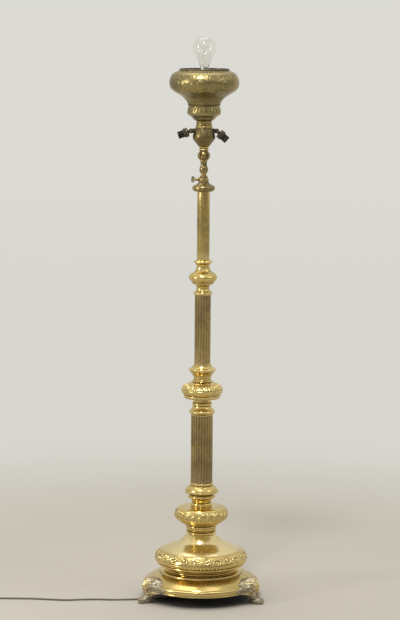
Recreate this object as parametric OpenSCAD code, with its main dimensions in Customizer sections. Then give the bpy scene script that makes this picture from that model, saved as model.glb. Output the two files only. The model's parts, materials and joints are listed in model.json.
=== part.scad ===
// Brass column floor lamp with leaf feet, a telescopic head and two tilting lamp holders.
// The origin is on the lamp's axis at floor level, the front is towards -Y, and heights run up +Z.

/* [Base] */
// Height of the base disc's lower edge above the floor
foot_rise = 28; // [24:1:34]
// Radius of the base disc
disc_r = 150; // [144:1:160]
// Height of the upright band round the disc
disc_band_h = 17; // [14:1:22]
// Rise of the dome above the band
dome_h = 20; // [16:1:26]
// Radius of the step at the dome's top
step_r = 107; // [102:1:114]
// Height of the step
step_h = 5; // [4:0.5:7]
// Wall of the spun base and bell
base_wall = 1.6; // [1.2:0.1:2.2]
// Radius of the iron weight
weight_r = 92; // [80:1:96]
// Height of the iron weight
weight_h = 16; // [12:1:18]
// Thickness of the bottom plate
plate_t = 2; // [1.5:0.5:3]

/* [Feet] */
// Distance of each toe's tip from the axis
toe_r = 190; // [186:1:200]
// Distance of the knee's outermost point from the axis
knee_r = 172; // [168:1:176]
// Height of the knee's top
knee_top = 64; // [60:1:70]
// Width of the leg at the ankle
leg_w = 28; // [24:1:34]
// Width of the leaf that clasps the disc's edge
leaf_w = 112; // [90:1:124]
// Thickness of the leaf outside the disc
leaf_t = 6; // [4:0.5:9]
// Shank radius of the base screws
base_screw_r = 2.5; // [2:0.1:3]

/* [Bell] */
// Height of the ring stack under the bulge
stack_h = 17; // [15:1:24]
// Radius of the ring stack at its foot
stack_r = 93; // [90:1:98]
// Bore radius of the ring stack
stack_bore_r = 80; // [70:1:84]
// Radius of the border under the bulge
border_r = 113; // [110:1:116]
// Largest radius of the embossed bulge
bulge_r = 121; // [118:1:128]
// Height of the bulge and bell together
bell_h = 81; // [76:1:92]
// Radius at the top of the bell flare
bell_top_r = 36; // [32:1:40]
// Height of the collar on the bell
neck_collar_h = 22; // [18:1:28]

/* [Cushion and lower tube] */
// Largest radius of the cushion knop
cushion_r = 70; // [62:1:78]
// Height of the cushion knop
cushion_h = 50; // [44:1:56]
// Height of the turned cap on the cushion
cushion_cap_h = 28; // [24:1:34]
// Lip radius of the collar under the lower tube
lower_lip_r = 44; // [40:1:48]
// Height of the collar under the lower tube
lower_collar_h = 35; // [30:1:42]
// Radius of the lower tube over its reeds
lower_tube_r = 28.5; // [26:0.5:30]
// Length of the lower reeded tube
lower_tube_h = 179; // [120:1:240]
// Number of reeds round the lower tube
lower_reeds = 24; // [20:1:28]

/* [Middle knop and upper tube] */
// Lip radius of the middle knop's foot
knop_foot_r = 34; // [31:1:38]
// Height of the middle knop's foot
knop_foot_h = 40; // [34:1:46]
// Largest radius of the middle knop
mid_knop_r = 54.3; // [50:0.1:60]
// Height of the middle knop
mid_knop_h = 49; // [44:1:56]
// Lip radius of the middle knop's cap
knop_cap_r = 36; // [32:1:40]
// Height of the middle knop's cap
knop_cap_h = 47; // [42:1:54]
// Radius of the upper tube over its reeds
upper_tube_r = 21; // [19:0.5:22]
// Length of the upper reeded tube
upper_tube_h = 179; // [120:1:240]
// Number of reeds round the upper tube
upper_reeds = 18; // [15:1:22]
// Wall of the tubes and of the spun knops
tube_wall = 1.4; // [1.2:0.1:1.8]

/* [Upper knop and clamp] */
// Largest radius of the upper knop
upper_knop_r = 37; // [34:0.5:42]
// Height of the upper knop
upper_knop_h = 91; // [84:1:100]
// Radius of the plain tube
plain_tube_r = 16.3; // [15:0.1:18]
// Length of the plain tube
plain_tube_h = 177; // [120:1:240]
// Radius of the torus on the clamp collar
torus_r = 28; // [25:0.5:32]
// Height of the clamp collar
clamp_h = 41; // [38:1:46]
// Radius of the clamp collar round the rod
clamp_r = 13; // [12:0.5:15]
// Shank radius of the thumbscrew
thumb_r = 2.5; // [2:0.1:3]
// Height of the thumbscrew's wings
wing_h = 18.6; // [14:0.1:20]
// Reach of the thumbscrew's wings beyond its shoulder
wing_reach = 14; // [11:0.5:18]

/* [Telescopic rod] */
// Radius of the sliding rod
rod_r = 7.3; // [6.6:0.1:7.6]
// Length of the sliding rod
rod_l = 520; // [500:5:540]
// Bore radius of the sliding rod
rod_bore_r = 5.6; // [4.8:0.1:5.8]
// Bore radius of the column tube
column_bore_r = 8.5; // [8.3:0.1:8.8]
// Wall of the column tube
column_wall = 1.3; // [1:0.1:1.5]
// Height of the guide bush on the rod's lower end
guide_h = 16; // [10:1:24]
// Radial clearance of a sliding fit
slide_gap = 0.06; // [0.04:0.01:0.08]
// Radial clearance of a part strung on another
slip_gap = 0.15; // [0.1:0.01:0.2]

/* [Head] */
// Gap between the clamp collar and the head at rest
head_gap = 7; // [6.5:0.5:10]
// Height of the stem knop
stem_h = 33; // [30:1:38]
// Largest radius of the stem knop
stem_r = 10.7; // [10:0.1:13]
// Height of the cage knop with the rings over it
cage_h = 34; // [31:1:38]
// Largest radius of the cage knop
cage_r = 16.4; // [15:0.2:18]
// Height of the urn body
urn_h = 51; // [48:1:56]
// Largest radius of the urn body
urn_r = 29; // [28:0.5:30]
// Height of the urn's cap
urn_cap_h = 15; // [13:1:18]
// Wall of the urn
urn_wall = 2; // [1.6:0.1:2.4]

/* [Lamp holders] */
// Height of the arms' pivots above the urn's foot
pivot_rise = 41; // [40:1:43]
// Distance of the arms' pivots from the axis
pivot_x = 33; // [32.5:0.5:36]
// Tilt of the left holder below level, in degrees
left_tilt = 20; // [0:1:40]
// Tilt of the right holder below level, in degrees
right_tilt = 42; // [0:1:44]
// Length of a holder from its pivot to its mouth
holder_l = 36; // [34:1:42]
// Radius of a holder's barrel
barrel_r = 9.6; // [9.4:0.1:11]
// Bore radius of a holder, for a small bayonet cap
socket_r = 7.75; // [7.6:0.05:8]
// Depth of a holder's bore down to its insulator
socket_depth = 15; // [13:0.5:16]
// Radius of a holder's shade ring
shade_ring_r = 12; // [11.6:0.1:13.5]
// Radius of the knuckle pins
pin_r = 1.5; // [1.2:0.1:1.8]

/* [Cup] */
// Height of the stand under the cup
cup_stand_h = 39; // [35:1:44]
// Radius of the bead on the cup's stand
cup_bead_r = 44; // [40:1:48]
// Largest radius of the cup
cup_r = 90; // [84:1:98]
// Height of the cup
cup_h = 91; // [84:1:98]
// Radius of the cup's mouth
mouth_r = 63; // [58:1:68]
// Wall of the cup
cup_wall = 1.4; // [1.1:0.1:1.8]
// Height of the cup's rim ring
rim_h = 4; // [3:0.5:5]
// Radius of the threaded nipple through the cup's stand
nipple_r = 5; // [4.5:0.1:5.5]

/* [Bulb] */
// Radius of the bulb's glass
bulb_r = 30; // [28:0.5:33]
// Height of the bulb's top above the cup's mouth
bulb_above = 83; // [78:1:92]
// Length of the bulb with its cap
bulb_l = 104; // [100:1:110]
// Radius of the bulb's bayonet cap
bulb_cap_r = 11; // [10.8:0.05:11.2]
// Length of the bulb's cap
bulb_cap_h = 25; // [23:1:27]
// Wall of the bulb's glass
glass_t = 0.8; // [0.6:0.1:1.2]

/* [Cord] */
// Diameter of the mains cord
cord_d = 4.5; // [4:0.1:4.5]
// Number of turns in the put-away coil
coil_turns = 7.25; // [6.25:1:7.25]
// Radius of the coil's outer turns
coil_out_r = 36; // [36:0.5:40]
// Radius of the coil's inner turns
coil_in_r = 17.9; // [17:0.1:17.9]
// Length of the plug's pins
plug_pin_l = 17.7; // [15:0.1:20]

/* [Hidden] */
// Facets of round shapes where only the preview shows them
$fn = 72;

// Heights of the stacked pieces, each on the one below
disc_top = foot_rise + disc_band_h + dome_h + step_h;
bell_z = disc_top + stack_h;
neck_z = bell_z + bell_h;
cushion_z = neck_z + neck_collar_h;
cap_z = cushion_z + cushion_h;
lower_collar_z = cap_z + cushion_cap_h;
lower_tube_z = lower_collar_z + lower_collar_h;
knop_foot_z = lower_tube_z + lower_tube_h;
mid_knop_z = knop_foot_z + knop_foot_h;
knop_cap_z = mid_knop_z + mid_knop_h;
upper_tube_z = knop_cap_z + knop_cap_h;
upper_knop_z = upper_tube_z + upper_tube_h;
plain_tube_z = upper_knop_z + upper_knop_h;
clamp_z = plain_tube_z + plain_tube_h;
clamp_top = clamp_z + clamp_h;
head_z = clamp_top + head_gap;
cage_z = head_z + stem_h;
urn_z = cage_z + cage_h;
urn_cap_z = urn_z + urn_h;
stand_z = urn_cap_z + urn_cap_h;
cup_z = stand_z + cup_stand_h;
rim_z = cup_z + cup_h;
mouth_z = rim_z + rim_h;

// Inside the base, from the top plate down
column_r = column_bore_r + column_wall;
strung_r = column_r + slip_gap;
weight_z = disc_top - base_wall - weight_h;
washer_h = 2.5;
washer_r = 22;
nut_h = 9;
nut_r = 17;
nut_z = weight_z - washer_h - nut_h;
column_z = nut_z - 1;
plate_z = foot_rise + 2;
plate_r = disc_r - 5;
leg_boss_r = 6;
leg_boss_at = 72;
screw_gap = 0.1;
screw_head_r = 4;
screw_head_h = 3;
foot_screw_z = foot_rise + 9;
foot_screw_l = 17;
foot_screw_from = disc_r - base_wall - 0.8 - screw_head_h;
plate_screw_l = 12;

// Depth that the column tube goes into the clamp collar
column_seat = 13;
tube_stop_z = clamp_z + column_seat;
// Spigots centre a tube on the moulding under and over it
spigot_h = 6;
spigot_gap = 0.15;
reed_h = 1.6;

// Thumbscrew and pad
thumb_z = clamp_z + 31.5;
boss_r = 5;
boss_x = clamp_r + 4;
pad_r = 2.2;
pad_gap = 0.3;
pad_l = 3;
pad_x = rod_r + pad_gap;
shank_x = pad_x + pad_l;
shoulder_gap = 1;
shoulder_x = boss_x + shoulder_gap;
shoulder_h = 3;
shoulder_r = 4.2;
wing_t = 3;

// Rod, guide and flex
rod_seat = 9;
rod_top = head_z + rod_seat;
rod_bottom = rod_top - rod_l;
inner_flex_r = 2.25;
guide_hole_r = inner_flex_r + slip_gap;
// Floor of the guide bush under the rod's end
guide_floor = 4;
stem_bore_r = 3.4;
// Post that carries the cage knop and the urn
post_r = 5;
post_over = 5;

// Knuckles and holders
pivot_z = urn_z + pivot_rise;
ear_r = 4.6;
ear_t = 2.6;
web_t = 1.5;
tongue_t = 4.6;
tongue_half = 3.2;
tongue_gap = 0.2;
arm_r = 4.6;
arm_in_x = 20;
web_gap = 0.6;
ferrule_at = 9;
ferrule_l = 8;
insulator_t = 5;
seat_step = 0.7;
contact_r = 1.2;
contact_at = 3.2;
contact_h = 2;
slot_w = 2.6;
slot_depth = 7;
shade_ring_l = 6;

// Bulb and its holder
bulb_top = mouth_z + bulb_above;
bulb_z = bulb_top - bulb_l;
holder_bore_r = bulb_cap_r + slip_gap;
holder_wall = 1.2;
holder_shell_r = 15;
holder_floor = 6;
holder_plate = 4;
holder_skirt_t = 1;
holder_over = 16;
lug_r = 1;
lug_out = 2.4;
lug_rise = 8;
lug_turn = 18;
holder_z = bulb_z - holder_floor - 3;
nipple_z = urn_z + 40;
nipple_top = holder_z + holder_plate;
cup_nut_h = 6;
cup_nut_r = 9;

// Cord
cord_r = cord_d / 2;
bush_nose = plate_z - 9.5;
bush_top = plate_z + plate_t + 4;
bush_r = 5.2;
bush_flange_r = 8.5;
coil_step = cord_d + 0.5;
coil_centre = [-585, -57 + coil_out_r, 0];
coil_lead = 5;
coil_tail = 28;
// Route of the cord from the bush over the floor, past the left foot
cord_route = [[0, 0, bush_nose], [-1.3, -0.4, 13.5], [-5, -1.6, 7.6], [-10.7, -3.4, 3.6],
  [-18, -6, cord_r], [-40, -13.5, cord_r], [-70, -24, cord_r], [-100, -35, cord_r],
  [-130, -46, cord_r], [-160, -55, cord_r], [-190, -60, cord_r], [-230, -63, cord_r],
  [-270, -61, cord_r], [-310, -64, cord_r], [-350, -70, cord_r], [-390, -66, cord_r],
  [-430, -59, cord_r], [-470, -57, cord_r], [-510, -57, cord_r], [-550, -57, cord_r],
  [-580, -57, cord_r]];

// Point t of the way from b to c on a smooth curve that also heeds a and d
function between(a, b, c, d, t) =
  0.5 * (2 * b + (c - a) * t + (2 * a - 5 * b + 4 * c - d) * t * t + (3 * b - a - 3 * c + d) * t * t * t);
function held(p, i) = p[max(0, min(len(p) - 1, i))];
// Smooth curve through all the points, with n steps between neighbours
function smooth(p, n = 4) = [
  for (i = [0:len(p) - 2], k = [0:n - 1]) between(held(p, i - 1), p[i], p[i + 1], held(p, i + 2), k / n),
  p[len(p) - 1]];
function left_of(v) = [-v.y, v.x] / norm(v);
// The same line moved inwards by a wall
function inset(p, wall) = [
  for (i = [0:len(p) - 1]) p[i] + wall * left_of(held(p, i + 1) - held(p, i - 1))];
function backwards(p) = [for (i = [len(p) - 1:-1:0]) p[i]];
// Half round moulding that stands out by d from a line at radius r
function bead(r, z, h, d, n = 6) = [
  for (i = [0:n]) [r + d * sin(180 * i / n), z + h / 2 - h / 2 * cos(180 * i / n)]];
// Points round a circle
function arc(cx, cy, r, a0, a1, n = 8) = [
  for (i = [0:n]) [cx + r * cos(a0 + (a1 - a0) * i / n), cy + r * sin(a0 + (a1 - a0) * i / n)]];
function total(v, i = 0) = i >= len(v) ? 0 : v[i] + total(v, i + 1);
function path_length(p) = total([for (i = [1:len(p) - 1]) norm(p[i] - p[i - 1])]);

// Spun shell whose outside follows the points from bottom to top
module spun(p, wall) {
  rotate_extrude()
    polygon(concat(p, backwards(inset(p, wall))));
}
// Turned solid with a bore, whose outside follows the points from bottom to top
module turned(p, bore) {
  rotate_extrude()
    polygon(concat([[bore, p[0].y]], p, [[bore, p[len(p) - 1].y]]));
}
module pipe(z0, z1, r, bore) {
  translate([0, 0, z0])
    difference() {
      cylinder(h = z1 - z0, r = r);
      translate([0, 0, -1]) cylinder(h = z1 - z0 + 2, r = bore);
    }
}
// Cylinder that starts at a point and runs out along +X
module rod_x(from, l, r) {
  translate(from) rotate([0, 90, 0]) cylinder(h = l, r = r);
}
// Round tube swept along points. No step of the path runs along side.
module swept(path, r, sides, side) {
  last = len(path) - 1;
  points = [
    for (i = [0:last])
      let (
        along = path[min(last, i + 1)] - path[max(0, i - 1)],
        d = along / norm(along),
        u0 = side - (side * d) * d,
        u = u0 / norm(u0),
        v = cross(d, u)
      )
      for (k = [0:sides - 1]) path[i] + r * (u * cos(360 * k / sides) + v * sin(360 * k / sides))];
  walls = [
    for (i = [0:last - 1], k = [0:sides - 1])
      let (a = i * sides + k, b = i * sides + (k + 1) % sides)
      each [[a, a + sides, b], [b, a + sides, b + sides]]];
  ends = [
    for (k = [1:sides - 2])
      each [[0, k, k + 1], [last * sides, last * sides + k + 1, last * sides + k]]];
  polyhedron(points = points, faces = concat(walls, ends));
}

// Base

// Outside of the base disc from its lower edge to the hole for the column tube
disc_line = concat(
  [[disc_r - 2.5, 0]],
  [[disc_r - 0.3, 3]],
  [[disc_r, 6]],
  [[disc_r, disc_band_h - 3]],
  [[disc_r - 3, disc_band_h]],
  smooth([[disc_r - 6, disc_band_h + 2], [disc_r - 18, disc_band_h + dome_h * 0.5],
    [disc_r - 31, disc_band_h + dome_h * 0.83], [step_r + 2, disc_band_h + dome_h]]),
  [[step_r, disc_band_h + dome_h + 1]],
  [[step_r - 0.5, disc_band_h + dome_h + step_h - 0.6]],
  [[step_r - 2, disc_band_h + dome_h + step_h]],
  [[strung_r, disc_band_h + dome_h + step_h]]);

// Radial hole or screw through the disc's band at one foot, -Y is the front
module at_foot(angle) {
  rotate([0, 0, angle - 90]) children();
}
foot_angles = [-60, 60, 180];

module base_disc() {
  color("#c9a63c")
    difference() {
      translate([0, 0, foot_rise]) spun(disc_line, base_wall);
      for (a = foot_angles)
        at_foot(a) rod_x([foot_screw_from, 0, foot_screw_z], foot_screw_l, base_screw_r + screw_gap);
    }
}

// Side view of a foot: distance from the axis against height
foot_side = concat(
  [[toe_r - 2, 0], [toe_r, 6]],
  arc(toe_r - 4.5, 12.5, 4.2, 10, 170, 5),
  smooth([[toe_r - 14, 10.5], [knee_r + 1, 17], [knee_r - 4, 27], [knee_r, 39],
    [knee_r - 1.5, 50], [knee_r - 9, 59], [knee_r - 22, knee_top], [disc_r - 22, knee_top - 2]], 3),
  [[disc_r - 26, knee_top - 6]],
  [[disc_r - 26, foot_rise]],
  smooth([[disc_r - 24, foot_rise - 6], [disc_r - 18, 13], [disc_r + 2, 0]], 3));
// Front view of a foot: half width against height
foot_front = [[leg_w * 0.55, 0], [leg_w * 0.62, 7], [leg_w * 0.5, 15], [leg_w * 0.55, 22],
  [leg_w * 0.95, foot_rise + 1], [leaf_w * 0.42, foot_rise + 5], [leaf_w * 0.5, foot_rise + 12],
  [leaf_w * 0.44, foot_rise + 19], [leg_w * 0.95, foot_rise + 25], [leg_w * 0.72, foot_rise + 33],
  [0, knee_top + 2]];
// Section of the leaf round the disc's edge
leaf_section = [[disc_r - 8, foot_rise - 3], [disc_r + leaf_t, foot_rise - 3],
  [disc_r + leaf_t, foot_rise + disc_band_h - 2], [disc_r - 4, foot_rise + disc_band_h + leaf_t],
  [disc_r - 14, foot_rise + disc_band_h + leaf_t + 3], [disc_r - 14, foot_rise]];
foot_gap = 0.15;
// Plan of a leg from its root in the disc: the toe is a long ellipse, the knee a blunter curve
leg_root = disc_r - 9;
toe_top = 17;
function leg_plan(reach, half, power) = concat(
  [for (i = [-8:8]) [leg_root + (reach - leg_root) * pow(1 - i * i / 64, power), i / 8 * half]],
  [[disc_r - 30, half], [disc_r - 30, -half]]);
module leg(from, to, plan) {
  intersection() {
    rotate([90, 0, 0])
      translate([0, 0, -leg_w * 0.85]) linear_extrude(leg_w * 1.7) polygon(foot_side);
    translate([0, 0, from]) linear_extrude(to - from) polygon(plan);
  }
}
module foot(angle) {
  at_foot(angle)
    difference() {
      intersection() {
        union() {
          leg(0, toe_top, leg_plan(toe_r, leg_w * 0.62, 0.5));
          leg(toe_top, knee_top + 2, leg_plan(knee_r + 1, leg_w * 0.82, 1));
          rotate([0, 0, -30]) rotate_extrude(angle = 60) polygon(leaf_section);
        }
        translate([disc_r - 40, 0, 0]) rotate([90, 0, 90])
          linear_extrude(90)
            polygon(concat(foot_front, backwards([for (p = foot_front) if (p.x > 0) [-p.x, p.y]])));
      }
      translate([0, 0, foot_rise])
        rotate_extrude()
          polygon(concat([[0, -foot_gap], [disc_r + foot_gap, -foot_gap]],
            [for (p = disc_line) if (p.y > 3) [p.x + foot_gap, p.y + foot_gap]], [[0, knee_top]]));
      rod_x([foot_screw_from, 0, foot_screw_z], foot_screw_l + 0.5, base_screw_r + screw_gap);
    }
}
module foot_left() {
  color("#8f8760") foot(-60);
}
module foot_right() {
  color("#8f8760") foot(60);
}
module foot_back() {
  color("#8f8760") foot(180);
}

module base_screws() {
  color("#8c8c86") {
    for (a = foot_angles)
      at_foot(a) {
        rod_x([foot_screw_from, 0, foot_screw_z], screw_head_h, screw_head_r);
        rod_x([foot_screw_from, 0, foot_screw_z], foot_screw_l, base_screw_r);
      }
    for (a = [0, 120, 240])
      rotate([0, 0, a]) translate([leg_boss_at, 0, 0]) {
        translate([0, 0, plate_z - screw_head_h + 0.6]) cylinder(h = screw_head_h - 0.6, r = screw_head_r);
        translate([0, 0, plate_z - 1]) cylinder(h = plate_screw_l, r = base_screw_r);
      }
  }
}
module base_weight() {
  color("#3c3a38")
    difference() {
      union() {
        translate([0, 0, weight_z]) cylinder(h = weight_h, r = weight_r);
        for (a = [0, 120, 240])
          rotate([0, 0, a]) translate([leg_boss_at, 0, plate_z + plate_t])
            cylinder(h = weight_z - plate_z - plate_t + 1, r = leg_boss_r);
      }
      translate([0, 0, weight_z - 1]) cylinder(h = weight_h + 2, r = strung_r);
      for (a = [0, 120, 240])
        rotate([0, 0, a]) translate([leg_boss_at, 0, plate_z])
          cylinder(h = plate_screw_l, r = base_screw_r + screw_gap);
    }
}
module bottom_plate() {
  color("#5b5a55")
    difference() {
      translate([0, 0, plate_z]) cylinder(h = plate_t, r = plate_r);
      translate([0, 0, plate_z - 1]) cylinder(h = plate_t + 2, r = bush_r + screw_gap);
      for (a = [0, 120, 240])
        rotate([0, 0, a]) translate([leg_boss_at, 0, plate_z - 1])
          cylinder(h = plate_t + 2, r = base_screw_r + screw_gap);
    }
}
// Tapered bush that the cord leaves the base through
module cord_bush() {
  color("#24211f")
    turned([[cord_r + 0.9, bush_nose], [bush_r - 0.1, plate_z - 1], [bush_r, plate_z - 0.2],
      [bush_r, plate_z + plate_t], [bush_flange_r, plate_z + plate_t],
      [bush_flange_r, plate_z + plate_t + 2], [bush_r - 0.2, plate_z + plate_t + 2.5],
      [bush_r - 0.7, bush_top]], cord_r + 0.1);
}

// Bell

module ring_stack() {
  color("#b8922e")
    translate([0, 0, disc_top])
      turned(concat(
        [[stack_r, 0], [stack_r - 3, 1.5]],
        bead(stack_r - 2, 2.8, 5.4, 6),
        [[stack_r, 9]],
        bead(stack_r + 2, 10, stack_h - 12, 9),
        [[border_r - 9, stack_h - 1.2], [border_r - 6, stack_h]]), stack_bore_r);
}
bell_line = concat(
  [[stack_bore_r + 6, 0]],
  bead(border_r - 2, 0.4, 6, 5, 5),
  smooth([[border_r + 1, 7.5], [bulge_r - 1, 11], [bulge_r, 16], [bulge_r - 3.2, 25],
    [bulge_r - 11, 33.5], [bulge_r - 17.5, 38]], 3),
  smooth([[bulge_r - 19.5, 38.5], [bulge_r - 33, 46], [bulge_r - 50, bell_h - 28],
    [bulge_r - 63, bell_h - 22.5], [bell_top_r + 12, bell_h - 13], [bell_top_r + 4, bell_h - 5],
    [bell_top_r, bell_h - 0.8]], 4),
  [[bell_top_r - 3, bell_h], [strung_r, bell_h]]);
module bell_shell() {
  color("#c9a63c") translate([0, 0, bell_z]) spun(bell_line, base_wall);
}
module neck_collar() {
  color("#c9a63c")
    translate([0, 0, neck_z])
      turned(concat([[37, 0]], bead(37.5, 0.8, 5, 3), [[36, 6.5]],
        smooth([[36.5, 8], [39.5, 12], [40.5, neck_collar_h - 4], [41.5, neck_collar_h]], 3)), strung_r);
}

// Cushion and lower tube

module cushion_knop() {
  color("#b8922e")
    translate([0, 0, cushion_z])
      spun(concat(
        [[strung_r, 0], [38, 0]],
        smooth([[40, 0.6], [cushion_r - 22, 4.5], [cushion_r - 10, 12], [cushion_r - 1.4, 22],
          [cushion_r, 30], [cushion_r - 1.8, 38], [cushion_r - 6, cushion_h - 4],
          [cushion_r - 14, cushion_h - 1.2], [cushion_r - 24, cushion_h - 0.2]], 3),
        [[cushion_r - 30, cushion_h]],
        [[strung_r, cushion_h]]), tube_wall);
}
module cushion_cap() {
  color("#c9a63c")
    translate([0, 0, cap_z])
      turned(concat([[28, 0]], bead(26, 1.5, 8, 3), [[24.5, 10.5]],
        smooth([[24.5, 11], [26, 16], [30.5, 21], [35, cushion_cap_h - 3.5]], 3),
        [[36.7, cushion_cap_h - 2.5], [36.7, cushion_cap_h]]), strung_r);
}
module lower_collar() {
  color("#c9a63c") {
    translate([0, 0, lower_collar_z])
      turned(concat(
        [[34, 0], [32, 3]],
        smooth([[33, 5], [lower_lip_r - 4, 8], [lower_lip_r, 11.5]], 3),
        [[lower_lip_r - 0.3, 14]],
        smooth([[lower_lip_r - 2, 15.5], [lower_lip_r - 5, 21], [lower_lip_r - 12, 27]], 3),
        [[lower_lip_r - 14.5, 29]],
        [[lower_tube_r + 1.5, 30]],
        [[lower_tube_r + 1.5, lower_collar_h]]), strung_r);
    spigot(lower_tube_z, lower_tube_r);
  }
}
// Ring on a moulding's face that a tube fits over
module spigot(z, tube_r) {
  out = tube_r - reed_h - tube_wall - spigot_gap;
  pipe(z - 1, z + spigot_h, out, strung_r);
}
module spigot_under(z, tube_r) {
  out = tube_r - reed_h - tube_wall - spigot_gap;
  pipe(z - spigot_h, z + 1, out, strung_r);
}
// Tube with half round reeds side by side, each of reed_steps facets
reed_steps = 8;
module reeded_tube(z, h, r, reeds) {
  core = r - reed_h;
  translate([0, 0, z])
    difference() {
      linear_extrude(h)
        polygon([
          for (i = [0:reeds - 1], k = [0:reed_steps - 1])
            let (
              across = 2 * k / reed_steps - 1,
              out = core + reed_h * sqrt(1 - across * across),
              a = 360 * (i + k / reed_steps) / reeds
            )
            [out * cos(a), out * sin(a)]]);
      translate([0, 0, -1]) cylinder(h = h + 2, r = core - tube_wall);
    }
}
module lower_reeded_tube() {
  color("#7a6138") reeded_tube(lower_tube_z, lower_tube_h, lower_tube_r, lower_reeds);
}

// Middle knop and upper tube

module knop_foot() {
  color("#c9a63c") {
    translate([0, 0, knop_foot_z])
      turned(concat(
        [[29, 0], [29, 3]],
        smooth([[30.5, 4.5], [knop_foot_r - 0.7, 7], [knop_foot_r, 10], [knop_foot_r - 1.5, 13]], 3),
        [[27.5, 17], [25.8, 20], [23.8, 22.5], [23.4, 25]],
        bead(24, 26, 7, 2.7),
        [[23, knop_foot_h - 5], [22.8, knop_foot_h]]), strung_r);
    spigot_under(knop_foot_z, lower_tube_r);
  }
}
module middle_knop() {
  color("#c9a63c")
    translate([0, 0, mid_knop_z])
      spun(concat(
        [[strung_r, 0], [21, 0]],
        smooth([[22.5, 0.3], [mid_knop_r - 21, 2.6], [mid_knop_r - 9, 5]], 3),
        [[mid_knop_r - 7.3, 6.5]],
        bead(mid_knop_r - 7.3, 8, 5.5, 1.6, 4),
        smooth([[mid_knop_r - 5.3, 15], [mid_knop_r - 1, 20.5], [mid_knop_r, 26],
          [mid_knop_r - 2.3, 32], [mid_knop_r - 8.3, 38.5], [mid_knop_r - 19, 44.5],
          [mid_knop_r - 28.3, mid_knop_h - 0.7]], 3),
        [[strung_r, mid_knop_h]]), tube_wall);
}
module knop_cap() {
  color("#c9a63c") {
    translate([0, 0, knop_cap_z])
      turned(concat(
        [[27, 0], [24, 3], [22.3, 7]],
        smooth([[22.6, 9], [24, 13], [25, 17], [28.5, 20], [30.5, 23], [knop_cap_r - 3, 27.5],
          [knop_cap_r, 30]], 3),
        [[knop_cap_r, 32.5]],
        smooth([[knop_cap_r - 3, 34], [27, 37], [24.5, 40]], 3),
        [[upper_tube_r + 2, 42], [upper_tube_r + 2, knop_cap_h]]), strung_r);
    spigot(upper_tube_z, upper_tube_r);
  }
}
module upper_reeded_tube() {
  color("#7a6138") reeded_tube(upper_tube_z, upper_tube_h, upper_tube_r, upper_reeds);
}
module upper_knop() {
  color("#c9a63c") {
    translate([0, 0, upper_knop_z])
      turned(concat(
        [[22, 0]],
        bead(22, 1, 7, 3),
        smooth([[21, 9.5], [18, 13], [16.5, 19], [18.5, 24], [24, 28]], 3),
        [[29, 30], [29, 33]],
        smooth([[31, 35.5], [upper_knop_r - 1.2, 41], [upper_knop_r, 46], [upper_knop_r - 1.5, 51],
          [upper_knop_r - 6, 57]], 3),
        [[23, 60.5], [21, 62], [20.5, 64]],
        smooth([[19, 66], [17, 74], [18.4, 79], [22, 82.5]], 3),
        [[24.5, 85], [25, 88], [23, upper_knop_h - 1.5], [20, upper_knop_h]]), strung_r);
    spigot_under(upper_knop_z, upper_tube_r);
    pipe(plain_tube_z - 1, plain_tube_z + spigot_h, plain_tube_r - tube_wall - spigot_gap, strung_r);
  }
}
module plain_tube() {
  color("#86703f") pipe(plain_tube_z, clamp_z, plain_tube_r, plain_tube_r - tube_wall);
}

// Clamp collar, thumbscrew and pad

module clamp_collar() {
  color("#b8922e")
    difference() {
      union() {
        translate([0, 0, clamp_z])
          turned(concat(
            [[20, 0]],
            bead(torus_r - 7, 0.8, 17, 7, 8),
            smooth([[18.5, 19], [clamp_r + 2.5, 21.5], [clamp_r, 24]], 3),
            [[clamp_r, clamp_h - 7.5], [clamp_r - 2.5, clamp_h - 5.5], [clamp_r - 3, clamp_h]]),
            rod_r + slide_gap);
        pipe(clamp_z - spigot_h, clamp_z + 1, plain_tube_r - tube_wall - spigot_gap, strung_r);
        rod_x([-boss_x, 0, thumb_z], boss_x - rod_r - 2, boss_r);
      }
      translate([0, 0, clamp_z - spigot_h - 1])
        cylinder(h = column_seat + spigot_h + 1, r = strung_r);
      translate([0, 0, clamp_z]) cylinder(h = clamp_h + 1, r = rod_r + slide_gap);
      rod_x([-boss_x - 1, 0, thumb_z], boss_x, thumb_r + slide_gap);
    }
}
module clamp_pad() {
  color("#8a7a4a") rod_x([-shank_x, 0, thumb_z], pad_l, pad_r);
}
module thumbscrew() {
  color("#a98b3a") {
    rod_x([-shoulder_x - shoulder_h, 0, thumb_z], shoulder_x + shoulder_h - shank_x - 0.3, thumb_r);
    rod_x([-shoulder_x - shoulder_h, 0, thumb_z], shoulder_h, shoulder_r);
    translate([-shoulder_x - shoulder_h + 0.5, wing_t / 2, thumb_z])
      rotate([90, 0, 0])
        linear_extrude(wing_t)
          polygon(concat(
            [[0, 3.6]],
            arc(-wing_reach + wing_h / 3.2, wing_h / 2 - wing_h / 4.4, wing_h / 4.4, 90, 180, 6),
            arc(-wing_reach + wing_h / 3.2, wing_h / 4.4 - wing_h / 2, wing_h / 4.4, 180, 270, 6),
            [[0, -3.6]]));
  }
}

// Column tube and what holds it in the base

module column_tube() {
  color("#8a8f94") pipe(column_z, tube_stop_z - 0.2, column_r, column_bore_r);
}
module column_nut() {
  color("#77797a") {
    translate([0, 0, nut_z])
      difference() {
        cylinder(h = nut_h, r = nut_r, $fn = 6);
        translate([0, 0, -1]) cylinder(h = nut_h + 2, r = strung_r);
      }
    pipe(nut_z + nut_h, nut_z + nut_h + washer_h, washer_r, strung_r);
  }
}
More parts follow.
